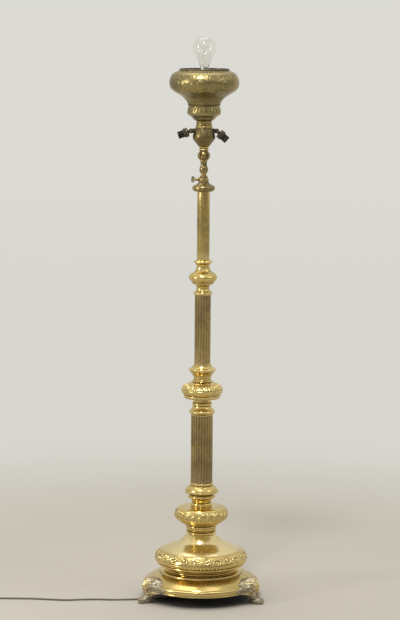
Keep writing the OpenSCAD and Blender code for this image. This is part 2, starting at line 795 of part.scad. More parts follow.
// Slack flex in the column, wound so that the head can rise
flex_turns = 24;
flex_wave_r = 5.6;
flex_end = 12;
flex_from = bush_top + 0.5;
flex_to = rod_bottom - 0.5;
column_flex_path = concat(
  [[0, 0, flex_from]],
  [for (i = [0:flex_turns * 8])
    let (
      t = i / (flex_turns * 8),
      grow = min(1, t * flex_turns, (1 - t) * flex_turns),
      a = 45 * i
    )
    [flex_wave_r * grow * cos(a), flex_wave_r * grow * sin(a),
      flex_from + flex_end + (flex_to - flex_from - 2 * flex_end) * t]],
  [[0, 0, flex_to]]);
flex_gap = min([
  for (i = [0:len(column_flex_path) - 1], j = [i + 5:len(column_flex_path) - 1])
    norm(column_flex_path[i] - column_flex_path[j])]) - 2 * inner_flex_r;
module column_flex() {
  color("#3a332c") swept(column_flex_path, inner_flex_r, 6, [1, 0, 0]);
}

// Telescopic head

module sliding_rod() {
  color("#86703f") pipe(rod_bottom, rod_top, rod_r, rod_bore_r);
}
// Bush that slides in the column tube, and in which the rod's lower end turns
module rod_guide() {
  color("#d8d4c8")
    difference() {
      translate([0, 0, rod_bottom - guide_floor]) cylinder(h = guide_h, r = column_bore_r - slide_gap);
      translate([0, 0, rod_bottom - 0.2]) cylinder(h = guide_h, r = rod_r + slide_gap);
      translate([0, 0, rod_bottom - guide_floor - 1]) cylinder(h = guide_floor + 3, r = guide_hole_r);
    }
}
rod_flex_top = urn_z + 12;
module rod_flex() {
  color("#3a332c")
    translate([0, 0, rod_bottom - 0.4]) cylinder(h = rod_flex_top - rod_bottom + 0.4, r = inner_flex_r);
}
module stem_knop() {
  color("#b8922e")
    difference() {
      union() {
        translate([0, 0, head_z])
          turned(concat(
            [[9, 0]],
            smooth([[9.8, 2], [stem_r, 7.5], [9.8, 13.5], [7.8, 18], [7.2, 24], [7.6, 28]], 3),
            [[9.5, stem_h - 2], [9.5, stem_h]]), stem_bore_r);
        translate([0, 0, cage_z - 1]) cylinder(h = cage_h + 1 + post_over, r = post_r);
      }
      translate([0, 0, head_z - 1]) cylinder(h = rod_seat + 1, r = rod_r);
      translate([0, 0, head_z]) cylinder(h = stem_h + cage_h + post_over + 1, r = stem_bore_r);
    }
}
cage_ball_h = 23;
cage_slots = 6;
cage_slot_w = 6.8;
cage_slot_h = 15;
cage_slot_z = 4;
cage_bar = 2.4;
module cage_knop() {
  color("#b8922e")
    translate([0, 0, cage_z])
      difference() {
        turned(concat(
          [[8.5, 0], [10, 1.5]],
          smooth([[11.5, 3], [cage_r - 1.8, 6.5], [cage_r, 11.5], [cage_r - 1.8, 16.5], [11.5, 20]], 3),
          [[10, cage_ball_h - 1.5], [9.5, cage_ball_h]],
          bead(10, cage_ball_h + 1, 6, 2),
          [[10.8, cage_ball_h + 8], [11.2, cage_h]]), post_r + slip_gap);
        for (i = [0:cage_slots - 1])
          rotate([0, 0, i * 360 / cage_slots])
            translate([post_r + cage_bar, -cage_slot_w / 2, cage_slot_z])
              cube([cage_r, cage_slot_w, cage_slot_h]);
      }
}
module urn_body() {
  color("#a8893f")
    difference() {
      translate([0, 0, urn_z])
        spun(concat(
          [[post_r + slip_gap, 0], [11, 0]],
          smooth([[12.5, 1.5], [15.4, 5], [20, 11], [27, 18], [urn_r, 24], [urn_r - 0.6, 30],
            [urn_r - 3, 38], [urn_r - 6, 45]], 3),
          [[urn_neck_r, urn_h]]), urn_wall);
      translate([0, 0, pivot_z]) rotate([0, 90, 0])
        cylinder(h = 2 * urn_r + 2, r = arm_r + 0.05, center = true);
      translate([0, 0, urn_screw_z]) rotate([90, 0, 0]) cylinder(h = 40, r = urn_screw_r + screw_gap);
    }
}
urn_neck_r = 21;
urn_screw_r = 1.6;
urn_screw_z = urn_cap_z - 4.5;
urn_screw_head = 1.8;
skirt_r = urn_neck_r - urn_wall - 0.3;
skirt_h = 9;
skirt_t = 3;
module urn_cap() {
  color("#a8893f")
    difference() {
      union() {
        translate([0, 0, urn_cap_z])
          turned([[22, 0], [22.3, 2], [20.5, 4], [19, 7], [18.7, urn_cap_h - 3], [19.5, urn_cap_h]],
            nipple_r + 0.05);
        pipe(urn_cap_z - skirt_h, urn_cap_z + 1, skirt_r, skirt_r - skirt_t);
      }
      translate([0, 0, urn_screw_z]) rotate([90, 0, 0]) cylinder(h = 30, r = urn_screw_r + screw_gap);
    }
}
module urn_screw() {
  color("#2c2824")
    translate([0, 0, urn_screw_z]) rotate([90, 0, 0]) {
      translate([0, 0, skirt_r - skirt_t]) cylinder(h = urn_r - 6 - skirt_r + skirt_t + 1, r = urn_screw_r);
      translate([0, 0, urn_r - 5.5]) cylinder(h = urn_screw_head, r = urn_screw_r + 1.2);
    }
}
module terminal_block() {
  color("#e6e0d2")
    translate([0, 0, rod_flex_top + 0.3])
      difference() {
        translate([-9, -6, 0]) cube([18, 12, 12]);
        for (x = [-5, 0, 5])
          translate([x, 0, 6]) rotate([90, 0, 0]) cylinder(h = 14, r = 1.5, center = true);
      }
}

// Branch arms and tilting holders

module mirrored(side) {
  mirror([side < 0 ? 1 : 0, 0, 0]) children();
}
module branch_arms() {
  color("#4a4034")
    for (side = [-1, 1])
      mirrored(side)
        translate([0, 0, pivot_z])
          difference() {
            union() {
              rod_x([arm_in_x, 0, 0], pivot_x - arm_in_x - ear_r - web_gap, arm_r);
              for (s = [-1, 1])
                translate([pivot_x, s * (tongue_t / 2 + tongue_gap + ear_t / 2), 0])
                  rotate([90, 0, 0]) cylinder(h = ear_t, r = ear_r, center = true);
              for (s = [-1, 1])
                translate([pivot_x - ear_r - web_gap - web_t, s * (tongue_t / 2 + tongue_gap + ear_t / 2), 0])
                  translate([0, -ear_t / 2, -arm_r * 0.8])
                    cube([ear_r + web_gap + web_t, ear_t, arm_r * 1.6]);
              translate([pivot_x - ear_r - web_gap - web_t, -tongue_t / 2 - tongue_gap - ear_t, -arm_r * 0.8])
                cube([web_t, tongue_t + 2 * (tongue_gap + ear_t), arm_r * 1.6]);
            }
            translate([pivot_x, 0, 0]) rotate([90, 0, 0]) cylinder(h = 30, r = pin_r, center = true);
            rod_x([arm_in_x - 1, 0, 0], pivot_x, 1.8);
          }
}
module knuckle_pins() {
  color("#8a8f94")
    for (side = [-1, 1])
      translate([side * pivot_x, 0, pivot_z]) rotate([90, 0, 0])
        cylinder(h = tongue_t + 2 * (tongue_gap + ear_t), r = pin_r, center = true);
}
// Places a holder's own axis along +X from its pivot, tilted below level
module at_holder(side, tilt) {
  mirrored(side)
    translate([pivot_x, 0, pivot_z]) rotate([0, tilt, 0]) children();
}
module holder_shape() {
  seat_x = holder_l - socket_depth;
  difference() {
    union() {
      rotate([90, 0, 0]) cylinder(h = tongue_t, r = ear_r - 0.5, center = true);
      translate([0, -tongue_t / 2, -tongue_half]) cube([ferrule_at, tongue_t, 2 * tongue_half]);
      translate([ferrule_at - 2, 0, 0])
        rotate([0, 90, 0])
          turned([[4.2, 0], [5, 1.5], [barrel_r, ferrule_l - 1], [barrel_r, holder_l - ferrule_at + 2]], 0.8);
    }
    rotate([90, 0, 0]) cylinder(h = tongue_t + 2, r = pin_r + slide_gap, center = true);
    rod_x([seat_x, 0, 0], holder_l, socket_r);
    rod_x([seat_x - contact_h - insulator_t, 0, 0], holder_l, socket_r - seat_step);
    rod_x([ear_r + 1, 0, 0], holder_l, 1.4);
    for (a = [0, 180])
      rotate([a, 0, 0]) {
        translate([holder_l - slot_depth, -slot_w / 2, socket_r - 1])
          cube([slot_depth + 1, slot_w, 4]);
        translate([holder_l - slot_depth, -slot_w / 2 - 2.4, socket_r - 1.2])
          cube([slot_w, slot_w + 2, 4]);
      }
  }
}
module shade_ring_shape() {
  translate([ferrule_at + ferrule_l - 2.7, 0, 0])
    rotate([0, 90, 0])
      turned([[shade_ring_r - 0.8, 0], [shade_ring_r, 0.8], [shade_ring_r, shade_ring_l - 1.6],
        [shade_ring_r - 0.9, shade_ring_l]], barrel_r + 0.05);
}
module insulator_shape() {
  back_x = holder_l - socket_depth - contact_h - insulator_t;
  rod_x([back_x, 0, 0], insulator_t, socket_r - seat_step - 0.1);
  for (s = [-1, 1])
    rod_x([back_x + insulator_t, 0, s * contact_at], contact_h - 0.1, contact_r);
}
module left_holder() {
  color("#453c31") at_holder(-1, left_tilt) holder_shape();
}
module left_shade_ring() {
  color("#50463a") at_holder(-1, left_tilt) shade_ring_shape();
}
module left_insulator() {
  color("#d9d3c4") at_holder(-1, left_tilt) insulator_shape();
}
module right_holder() {
  color("#453c31") at_holder(1, right_tilt) holder_shape();
}
module right_shade_ring() {
  color("#50463a") at_holder(1, right_tilt) shade_ring_shape();
}
module right_insulator() {
  color("#d9d3c4") at_holder(1, right_tilt) insulator_shape();
}

// Cup

module cup_stand() {
  color("#7d6a36")
    translate([0, 0, stand_z])
      spun(concat(
        [[nipple_r + 0.1, 0], [19, 0]],
        smooth([[21, 1], [27, 5], [30.5, 9], [36, 13], [38.5, 16]], 3),
        bead(cup_bead_r - 4, 18, 14, 4, 8),
        [[cup_bead_r - 4, 34], [cup_bead_r - 3.4, cup_stand_h - 0.6], [cup_bead_r - 6, cup_stand_h]],
        [[nipple_r + 0.1, cup_stand_h]]), urn_wall);
}
module cup_bowl() {
  color("#7d6a36")
    translate([0, 0, cup_z])
      spun(concat(
        [[nipple_r + 0.1, 0], [40, 0]],
        smooth([[41.5, 1.5], [44, 10], [51, 18], [60, 25], [74, 33], [cup_r - 5, 39.5],
          [cup_r - 1.3, 48], [cup_r, 60], [cup_r - 1.2, 70], [cup_r - 4.5, 79], [cup_r - 11, 85],
          [mouth_r + 6, 88.8], [mouth_r + 1, cup_h]], 3)), cup_wall);
}
module cup_rim() {
  color("#2c2419")
    translate([0, 0, rim_z])
      turned([[mouth_r + 0.4, 0], [mouth_r + 1.4, 1], [mouth_r + 1.4, rim_h - 1], [mouth_r + 0.6, rim_h]],
        mouth_r - 2);
}
module centre_nipple() {
  color("#8a8f94") pipe(nipple_z, nipple_top, nipple_r, 3.4);
}
module cup_nuts() {
  color("#8a7a4a")
    for (z = [urn_cap_z - cup_nut_h, cup_z + cup_wall])
      translate([0, 0, z])
        difference() {
          cylinder(h = cup_nut_h, r = cup_nut_r, $fn = 6);
          translate([0, 0, -1]) cylinder(h = cup_nut_h + 2, r = nipple_r);
        }
}
// Bayonet holder under the bulb, with a slot for each of the cap's lugs
module bulb_holder() {
  barrel_top = bulb_z + holder_over;
  lug_z = bulb_z + lug_rise;
  color("#9a8a5a")
    difference() {
      union() {
        pipe(holder_z, barrel_top, holder_bore_r + holder_wall, holder_bore_r);
        pipe(holder_z, holder_z + holder_plate, holder_shell_r, nipple_r);
        pipe(holder_z, barrel_top - lug_rise, holder_shell_r, holder_shell_r - holder_skirt_t);
      }
      for (a = [0, 180])
        rotate([0, 0, a]) {
          rotate([0, 0, lug_turn])
            translate([holder_bore_r - 2, -slot_w / 2, lug_z - slot_w / 2]) cube([8, slot_w, 40]);
          rotate([0, 0, -7])
            rotate_extrude(angle = lug_turn + 12)
              translate([holder_bore_r - 1, lug_z - slot_w / 2]) square([3.4, slot_w]);
        }
    }
}
module holder_insulator() {
  color("#d9d3c4") {
    translate([0, 0, holder_z + holder_plate])
      cylinder(h = holder_floor - holder_plate + 1, r = holder_bore_r - 0.1);
    for (s = [-1, 1])
      translate([s * 4, 0, holder_z + holder_plate])
        cylinder(h = bulb_z - holder_z - holder_plate - 0.3, r = 1.6);
  }
}

// Bulb

glass_neck_r = bulb_cap_r + 1.5;
glass_z = bulb_z + bulb_cap_h - 4;
glass_centre = bulb_top - bulb_r;
glass_line = concat(
  [[bulb_cap_r - 1.2, glass_z], [bulb_cap_r - 1.2, glass_z + 4]],
  smooth([[glass_neck_r, glass_z + 8], [glass_neck_r + 3, glass_z + 17],
    [bulb_r * cos(-35), glass_centre + bulb_r * sin(-35)]], 3),
  [for (a = [-28:10:82]) [bulb_r * cos(a), glass_centre + bulb_r * sin(a)]],
  [[0.01, bulb_top]]);
module bulb_glass() {
  inner = [for (p = inset(glass_line, glass_t)) [max(0, p.x), p.y]];
  color("#dfe6e8", 0.3)
    rotate_extrude()
      polygon(concat([for (i = [0:len(glass_line) - 2]) glass_line[i]], [[0, bulb_top]],
        [[0, bulb_top - glass_t]], backwards([for (i = [0:len(inner) - 2]) inner[i]])));
}
module bulb_cap() {
  color("#c8c6bd") {
    pipe(bulb_z, bulb_z + bulb_cap_h, bulb_cap_r, bulb_cap_r - 0.8);
    translate([0, 0, bulb_z]) cylinder(h = 2, r = bulb_cap_r - 0.4);
    for (s = [-1, 1])
      rod_x([s > 0 ? bulb_cap_r - 1 : -bulb_cap_r - lug_out + 1, 0, bulb_z + lug_rise], lug_out, lug_r);
  }
}
stem_top = glass_centre - 6;
module bulb_stem() {
  color("#dfe6e8", 0.5)
    rotate_extrude()
      polygon([[0, glass_z + 0.5], [bulb_cap_r - 2.6, glass_z + 0.5], [5.5, glass_z + 8], [2.6, glass_z + 16],
        [2.2, stem_top], [0, stem_top]]);
}
// Two lead wires, two hooks and the filament hung between them, with a bead at each joint
filament_r = 0.35;
filament_spread = 13;
filament_rise = 10;
module wire(from, to) {
  d = to - from;
  translate(from)
    rotate([0, acos(d.z / norm(d)), atan2(d.y, d.x)]) cylinder(h = norm(d), r = filament_r);
  translate(to) sphere(r = filament_r * 1.5);
}
module bulb_filament() {
  foot_z = stem_top + 0.1;
  top = stem_top + filament_rise;
  hook = [filament_spread / 3, 2, top - 2];
  color("#6d6a63") {
    for (s = [-1, 1]) {
      wire([s * 1.7, 0, foot_z], [s * filament_spread, 0, top]);
      wire([s * 0.6, 0, foot_z], [s * hook.x, hook.y, hook.z]);
      wire([s * filament_spread, 0, top], [s * hook.x, hook.y, hook.z]);
    }
    wire([-hook.x, hook.y, hook.z], hook);
  }
}

// Cord and plug

cord_path = [for (p = smooth(cord_route, 2)) [p.x, p.y, max(p.z, cord_r)]];
module floor_cord() {
  color("#3a332c") swept(cord_path, cord_r, 8, [0, 1, 0]);
}
// Turns spiral in on the floor, climb in the half turn where they reverse, and spiral out again
coil_rings = 24;
coil_loops = [
  for (i = [0:coil_turns * coil_rings])
    let (
      turn = i / coil_rings,
      half = coil_turns / 2,
      climb = max(0, min(1, (turn - half + 0.25) / 0.5)),
      share = 1 - abs(turn - half) / half,
      r = coil_out_r + (coil_in_r - coil_out_r) * share,
      a = -90 - 360 * turn
    )
    coil_centre + [r * cos(a), r * sin(a), cord_r + coil_step * climb]];
coil_end = coil_loops[len(coil_loops) - 1];
plug_entry = coil_end + [0, coil_tail, 0];
coil_path = concat(
  [coil_loops[0] + [coil_lead, 0, 0]], coil_loops, [coil_end + [0, coil_tail / 2, 0]], [plug_entry]);
// Least gap between turns that pass each other, and the cord's whole length
coil_gap = min([
  for (i = [0:len(coil_path) - 1], j = [i + coil_rings / 2:len(coil_path) - 1])
    norm(coil_path[i] - coil_path[j])]) - cord_d;
cord_length = path_length(cord_path) + path_length(coil_path);
echo(coil_gap = coil_gap, flex_gap = flex_gap, cord_length = cord_length);
module cord_coil() {
  color("#3a332c") swept(coil_path, cord_r, 6, [0, 0, 1]);
}
plug_h = 17;
plug_w = 48;
plug_l = 44;
plug_neck = 11;
plug_corner = 8;
// Pins of a mains plug with flat pins, the earth pin longer
pin_t = 4;
pin_w = 6.4;
pin_apart = 22.2;
pin_back = 8;
earth_w = 8;
earth_over = 4.5;
module plug_body() {
  color("#e9e6df")
    translate([plug_entry.x, plug_entry.y, 0])
      linear_extrude(plug_h)
        polygon(concat([[-8, 0], [8, 0]],
          arc(plug_w / 2 - plug_corner, plug_neck + plug_corner, plug_corner, -70, 0, 5),
          arc(plug_w / 2 - plug_corner, plug_neck + plug_l - plug_corner, plug_corner, 0, 90, 5),
          arc(plug_corner - plug_w / 2, plug_neck + plug_l - plug_corner, plug_corner, 90, 180, 5),
          arc(plug_corner - plug_w / 2, plug_neck + plug_corner, plug_corner, 180, 250, 5)));
}
module plug_pins() {
  x = plug_entry.x;
  y = plug_entry.y + plug_neck + plug_l / 2;
  color("#c7ad5a") {
    translate([x - pin_t / 2, y + pin_back, plug_h]) cube([pin_t, earth_w, plug_pin_l + earth_over]);
    for (s = [-1, 1])
      translate([x + s * pin_apart / 2 - pin_w / 2, y - pin_back - pin_t, plug_h])
        cube([pin_w, pin_t, plug_pin_l]);
  }
}

foot_left();
foot_right();
foot_back();
base_screws();
base_disc();
base_weight();
bottom_plate();
cord_bush();
ring_stack();
bell_shell();
neck_collar();
cushion_knop();
cushion_cap();
lower_collar();
lower_reeded_tube();
knop_foot();
middle_knop();
knop_cap();
upper_reeded_tube();
upper_knop();
plain_tube();
clamp_collar();
column_tube();
column_nut();
column_flex();
clamp_pad();
thumbscrew();
sliding_rod();
rod_guide();
rod_flex();
stem_knop();
cage_knop();
urn_body();
urn_cap();
urn_screw();
terminal_block();
branch_arms();
knuckle_pins();
left_holder();
left_shade_ring();
left_insulator();
right_holder();
right_shade_ring();
right_insulator();
cup_stand();
cup_bowl();
cup_rim();
centre_nipple();
cup_nuts();
bulb_holder();
holder_insulator();
bulb_glass();
bulb_cap();
bulb_stem();
bulb_filament();
floor_cord();
cord_coil();
plug_body();
plug_pins();
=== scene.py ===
import json
import math

import bpy
import numpy as np
from mathutils import Matrix, Vector


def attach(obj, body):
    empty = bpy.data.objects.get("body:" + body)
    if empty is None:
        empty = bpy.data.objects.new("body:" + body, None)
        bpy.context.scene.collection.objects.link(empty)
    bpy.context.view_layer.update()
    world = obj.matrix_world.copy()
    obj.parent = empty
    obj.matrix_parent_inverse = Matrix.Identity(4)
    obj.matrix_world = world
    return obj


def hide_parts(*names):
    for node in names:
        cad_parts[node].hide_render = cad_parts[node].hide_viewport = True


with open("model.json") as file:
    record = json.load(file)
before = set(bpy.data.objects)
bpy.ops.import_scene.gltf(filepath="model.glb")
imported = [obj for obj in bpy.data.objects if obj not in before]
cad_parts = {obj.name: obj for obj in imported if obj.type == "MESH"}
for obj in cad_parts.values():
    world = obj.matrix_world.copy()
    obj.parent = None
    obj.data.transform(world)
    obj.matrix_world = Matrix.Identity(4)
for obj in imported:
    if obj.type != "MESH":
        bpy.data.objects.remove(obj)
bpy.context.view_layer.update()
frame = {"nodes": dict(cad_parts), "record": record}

# Brass standard lamp: leaf feet, embossed base and cup, reeded column, sliding head with a bulb.
# Lengths in the piece tables are millimetres, heights in a section run from the foot of its piece.
nodes = frame["nodes"]
mm = 0.001
fullTurn = 2 * math.pi
print("frame loaded with", len(nodes), "nodes")


# Camera, floor and lights

view = {"back": 6.2, "height": 1.6, "aside": -0.0071, "pitchDown": 7.74, "roll": 0.40, "lens": 140.2}
lights = {
    # name: place, aim, width, height, power, colour
    "ceilingLight": ((-0.42, -1.5, 3.5), (0, 0, 0.8), 0.42, 0.42, 44, (1.0, 0.985, 0.95)),
    "windowLeft": ((-4.0, -1.9, 2.1), (0, 0, 0.8), 0.8, 1.5, 52, (1.0, 0.995, 0.97)),
    "skyRight": ((3.2, -1.4, 3.0), (0, 0, 0.7), 1.6, 1.2, 8, (0.97, 0.985, 1.0)),
    "over": ((-0.3, 0.9, 4.2), (0, 0, 0.4), 3.0, 2.4, 34, (1.0, 0.99, 0.97)),
}
room = {
    "wall": (0.685, 0.675, 0.62),
    "farWall": (0.71, 0.70, 0.655),
    "floor": (0.455, 0.425, 0.375),
    "ceiling": (0.86, 0.84, 0.79),
    "ceilingUp": (0.1, 0.8),
    "furniture": (0.16, 0.13, 0.10),
    "furnitureAhead": (0.35, -0.55),  # the dark furniture that the brass mirrors, behind the camera and low
    "furnitureUp": (0.55, 0.12),
    "patches": (0.36, 0.62, 0.35, 1.0),
    "patchScale": 2.6,
    "floorSize": 40.0,
    "floorPatches": 1.4,
    "floorFleck": 0.95,
    "floorRough": 0.75,
    # painted shadow on the floor under the lamp: its colour, the distances where it fades, its depth
    "underLamp": (0.025, 0.024, 0.03),
    "shadowEdge": (0.17, 0.115),
    "shadowDepth": 0.85,
    "floorTo": 0.75,
    "wallFrom": 2.3,
    "farFrom": 16.0,
}


def tone(red, green, blue):
    # A colour as it shows on screen, 0 to 255, made linear
    shown = [v / 255 for v in (red, green, blue)]
    return tuple(v / 12.92 if v < 0.04045 else ((v + 0.055) / 1.055) ** 2.4 for v in shown)


class Num:
    def __init__(self, graph, socket):
        self.graph = graph
        self.socket = socket

    def __add__(self, other):
        return self.graph.maths("ADD", self, other)

    __radd__ = __add__

    def __sub__(self, other):
        return self.graph.maths("SUBTRACT", self, other)

    def __rsub__(self, other):
        return self.graph.maths("SUBTRACT", other, self)

    def __mul__(self, other):
        return self.graph.maths("MULTIPLY", self, other)

    __rmul__ = __mul__


class Graph:
    def __init__(self, tree):
        self.tree = tree

    def node(self, kind, settings=None, inputs=None):
        made = self.tree.nodes.new(kind)
        for name, value in (settings or {}).items():
            if name == "stops":
                self.setStops(made.color_ramp.elements, value)
            else:
                setattr(made, name, value)
        for name, value in (inputs or {}).items():
            self.feed(made.inputs[name], value)
        return made

    def setStops(self, elements, stops):
        while len(elements) < len(stops):
            elements.new(0.5)
        for element, (place, colour) in zip(elements, stops):
            element.position = place
            element.color = (*colour, 1)

    def feed(self, socket, value):
        if isinstance(value, Num):
            value = value.socket
        if isinstance(value, bpy.types.NodeSocket):
            self.tree.links.new(value, socket)
        elif isinstance(value, tuple) and len(value) == 3 and socket.type == "RGBA":
            socket.default_value = (*value, 1)
        else:
            socket.default_value = value

    def maths(self, operation, first, second=0.0):
        made = self.node("ShaderNodeMath", {"operation": operation}, {0: first, 1: second})
        return Num(self, made.outputs[0])

    def spread(self, value, low, high, first=0.0, last=1.0):
        # Value from low to high becomes first to last, held at both ends
        made = self.node("ShaderNodeMapRange", {"interpolation_type": "SMOOTHSTEP"},
                         {0: value, 1: low, 2: high, 3: first, 4: last})
        return Num(self, made.outputs[0])

    def mix(self, factor, first, second, way="MIX"):
        made = self.node("ShaderNodeMix", {"data_type": "RGBA", "blend_type": way},
                         {0: factor, 6: first, 7: second})
        return made.outputs[2]

    def spots(self, stretch=(1, 1, 1)):
        # Object coordinates in metres, closer together where stretch is larger
        place = self.node("ShaderNodeTexCoord").outputs["Object"]
        return self.node("ShaderNodeMapping", None, {"Vector": place, "Scale": stretch}).outputs[0]

    def noise(self, scale, detail=3.0, roughness=0.55, stretch=(1, 1, 1), warp=0.0):
        made = self.node("ShaderNodeTexNoise", None, {
            "Vector": self.spots(stretch), "Scale": scale, "Detail": detail,
            "Roughness": roughness, "Distortion": warp})
        return Num(self, made.outputs[0])

    def attribute(self, name):
        return Num(self, self.node("ShaderNodeAttribute", {"attribute_name": name}).outputs["Fac"])


class Finish(Graph):
    def __init__(self, name):
        self.material = bpy.data.materials.new(name)
        self.material.use_nodes = True
        super().__init__(self.material.node_tree)
        self.shader = self.tree.nodes["Principled BSDF"]

    def set(self, **inputs):
        # Names are the shader's sockets without their spaces
        sockets = {socket.name.replace(" ", ""): socket for socket in self.shader.inputs}
        for name, value in inputs.items():
            self.feed(sockets[name], value)

    def bump(self, height, distance, strength=1.0):
        made = self.node("ShaderNodeBump", None,
                         {"Strength": strength, "Distance": distance, "Height": height})
        self.set(Normal=made.outputs[0])


def makeCamera():
    bpy.ops.object.camera_add()
    camera = bpy.context.object
    camera.name = "photoCamera"
    camera.data.lens = view["lens"]
    camera.data.sensor_width = 36
    camera.data.clip_end = 100
    place = Matrix.Translation((view["aside"], -view["back"], view["height"]))
    tilt = Matrix.Rotation(math.radians(90 - view["pitchDown"]), 4, "X")
    camera.matrix_world = place @ tilt @ Matrix.Rotation(math.radians(view["roll"]), 4, "Z")
    bpy.context.scene.camera = camera


def makeLight(name, place, aim, width, height, power, colour):
    bpy.ops.object.light_add(type="AREA", location=place)
    lamp = bpy.context.object
    lamp.name = name
    lamp.data.shape = "RECTANGLE"
    lamp.data.size = width
    lamp.data.size_y = height
    lamp.data.energy = power
    lamp.data.color = colour
    lamp.rotation_euler = (Vector(aim) - Vector(place)).to_track_quat("-Z", "Y").to_euler()


def makeRoom():
    # Rays from the camera and through glass meet the pale wall, the others a room in light and shade
    world = bpy.data.worlds.new("room")
    bpy.context.scene.world = world
    world.use_nodes = True
    graph = Graph(world.node_tree)
    ray = graph.node("ShaderNodeLightPath")
    towards = graph.node("ShaderNodeTexCoord").outputs["Generated"]
    parts = graph.node("ShaderNodeSeparateXYZ", None, {0: towards})
    ahead, up = Num(graph, parts.outputs["Y"]), Num(graph, parts.outputs["Z"])
    shade = graph.spread(ahead, *room["furnitureAhead"]) * graph.spread(up, *room["furnitureUp"])
    patches = graph.node("ShaderNodeTexNoise", None,
                         {"Vector": towards, "Scale": room["patchScale"], "Detail": 2.0})
    shade = shade * graph.spread(Num(graph, patches.outputs[0]), *room["patches"])
    walls = graph.mix(graph.spread(up, *room["ceilingUp"]), room["wall"], room["ceiling"])
    seen = graph.mix(shade, walls, room["furniture"])
    plain = graph.maths("MAXIMUM", Num(graph, ray.outputs["Is Camera Ray"]),
                        Num(graph, ray.outputs["Is Transmission Ray"]))
    colour = graph.mix(plain, seen, room["farWall"])
    graph.feed(world.node_tree.nodes["Background"].inputs["Color"], colour)


def makeFloor():
    bpy.ops.mesh.primitive_plane_add(size=room["floorSize"])
    floor = bpy.context.object
    floor.name = "floor"
    finish = Finish("floorPaint")
    place = finish.node("ShaderNodeTexCoord").outputs["Object"]
    far = Num(finish, finish.node("ShaderNodeVectorMath", {"operation": "LENGTH"}, {0: place}).outputs[1])
    patches = finish.spread(finish.noise(room["floorPatches"]), 0.35, 0.7)
    colour = finish.mix(patches, room["floor"], tuple(room["floorFleck"] * v for v in room["floor"]))
    # Painted shadow: the floor's colour is painted dark under and round the lamp's foot
    paintedShadowShare = finish.spread(far, *room["shadowEdge"]) * room["shadowDepth"]
    colour = finish.mix(paintedShadowShare, colour, room["underLamp"])
    finish.set(BaseColor=colour, Roughness=room["floorRough"])
    shade = finish.mix(finish.spread(far, room["wallFrom"], room["farFrom"]), room["wall"], room["farWall"])
    wall = finish.node("ShaderNodeEmission", None, {"Color": shade, "Strength": 1.0})
    mixed = finish.node("ShaderNodeMixShader", None, {
        0: finish.spread(far, room["floorTo"], room["wallFrom"]),
        1: finish.shader.outputs[0], 2: wall.outputs[0]})
    finish.feed(finish.tree.nodes["Material Output"].inputs["Surface"], mixed.outputs[0])
    floor.data.materials.append(finish.material)


bpy.context.scene.view_settings.view_transform = "Standard"
makeCamera()
makeRoom()
makeFloor()
for name, place in lights.items():
    makeLight(name, *place)
print("camera, floor and lights placed")


# Finishes

def brass(name, look):
    # Polished or tarnished brass: rubbed edges, darker recesses, turning or drawing lines
    finish = Finish(name)
    wear = finish.attribute("wear")
    # Brighter where the wear values are high: rubbed edges, and a painted highlight on the cup's shoulder and
    # the feet's knees
    rubbed = finish.spread(wear, 0.08, 0.55) * look["rub"]
    # Darker where they are low: the recesses, and painted shade on the cup's waist and foot
    darkened = finish.spread(wear, -0.06, -0.5) * look["dirt"]
    clouds = finish.noise(look["cloud"], 4.0, 0.6, warp=0.4)
    specks = finish.noise(look["cloud"] * 9, 3.0, 0.7)
    dull = finish.spread(clouds + specks * 0.25, look["cloudFrom"], look["cloudFrom"] + 0.22)
    colour = finish.mix(dull * look["tarnish"], look["bright"], look["dull"])
    colour = finish.mix(rubbed, colour, look["rubbed"])
    colour = finish.mix(darkened, colour, look["deep"])
    spots = finish.spread(specks * (0.7 + clouds * 0.6), 0.62, 0.74) * look["spots"]
    colour = finish.mix(spots, colour, look["deep"])
    if "rust" in look:
        # Reddish and silvery flecks of a rough casting
        flecks = finish.noise(look["cloud"] * 7, 3.0, 0.7)
        colour = finish.mix(finish.spread(flecks, 0.52, 0.60) * look["rust"], colour, look["redFleck"])
        colour = finish.mix(finish.spread(flecks, 0.46, 0.38) * look["rust"], colour, look["paleFleck"])
    finish.set(BaseColor=colour, Metallic=1 - (darkened * 0.35 + spots * 0.4))
    rough = look["rough"] + dull * look["roughTarnish"] + darkened * 0.25 + spots * 0.3 - rubbed * 0.08
    finish.set(Roughness=rough)
    lines = finish.noise(look["lineScale"], 2.0, 0.5, look["lineStretch"])
    dents = finish.noise(look["dents"], 1.0)
    pits = finish.spread(finish.noise(look["cloud"] * 30, 2.0), 0.3, 0.45)
    height = lines * look["lineDepth"] + dents * look["dentDepth"] + pits * look["pitDepth"]
    finish.bump(height, 1 * mm)
    return finish.material


# Turned pieces are lined round the axis, drawn tubes along it
ringLines = {"lineScale": 900, "lineStretch": (0.02, 0.02, 1)}
drawnLines = {"lineScale": 420, "lineStretch": (1, 1, 0.012)}
polished = {
    "bright": (0.69, 0.525, 0.195), "dull": (0.50, 0.385, 0.145), "rubbed": (0.86, 0.69, 0.32),
    "deep": tone(92, 66, 22), "cloud": 11, "cloudFrom": 0.55, "tarnish": 0.55, "spots": 0.15,
    "rub": 0.6, "dirt": 0.85, "rough": 0.13, "roughTarnish": 0.13,
    **ringLines, "lineDepth": 0.035, "dents": 26, "dentDepth": 0.55, "pitDepth": 0.02,
}
embossed = {**polished, "rough": 0.16, "dirt": 1.0, "lineDepth": 0.01, "pitDepth": 0.05, "rub": 0.8}
reeded = {
    **polished, **drawnLines, "bright": (0.41, 0.30, 0.115), "dull": (0.26, 0.19, 0.09),
    "rubbed": (0.62, 0.47, 0.22), "deep": tone(52, 40, 24), "tarnish": 1.0, "cloudFrom": 0.5,
    "rough": 0.30, "dents": 18, "lineDepth": 0.05, "spots": 0.5, "dirt": 0.5, "rub": 0.4,
}
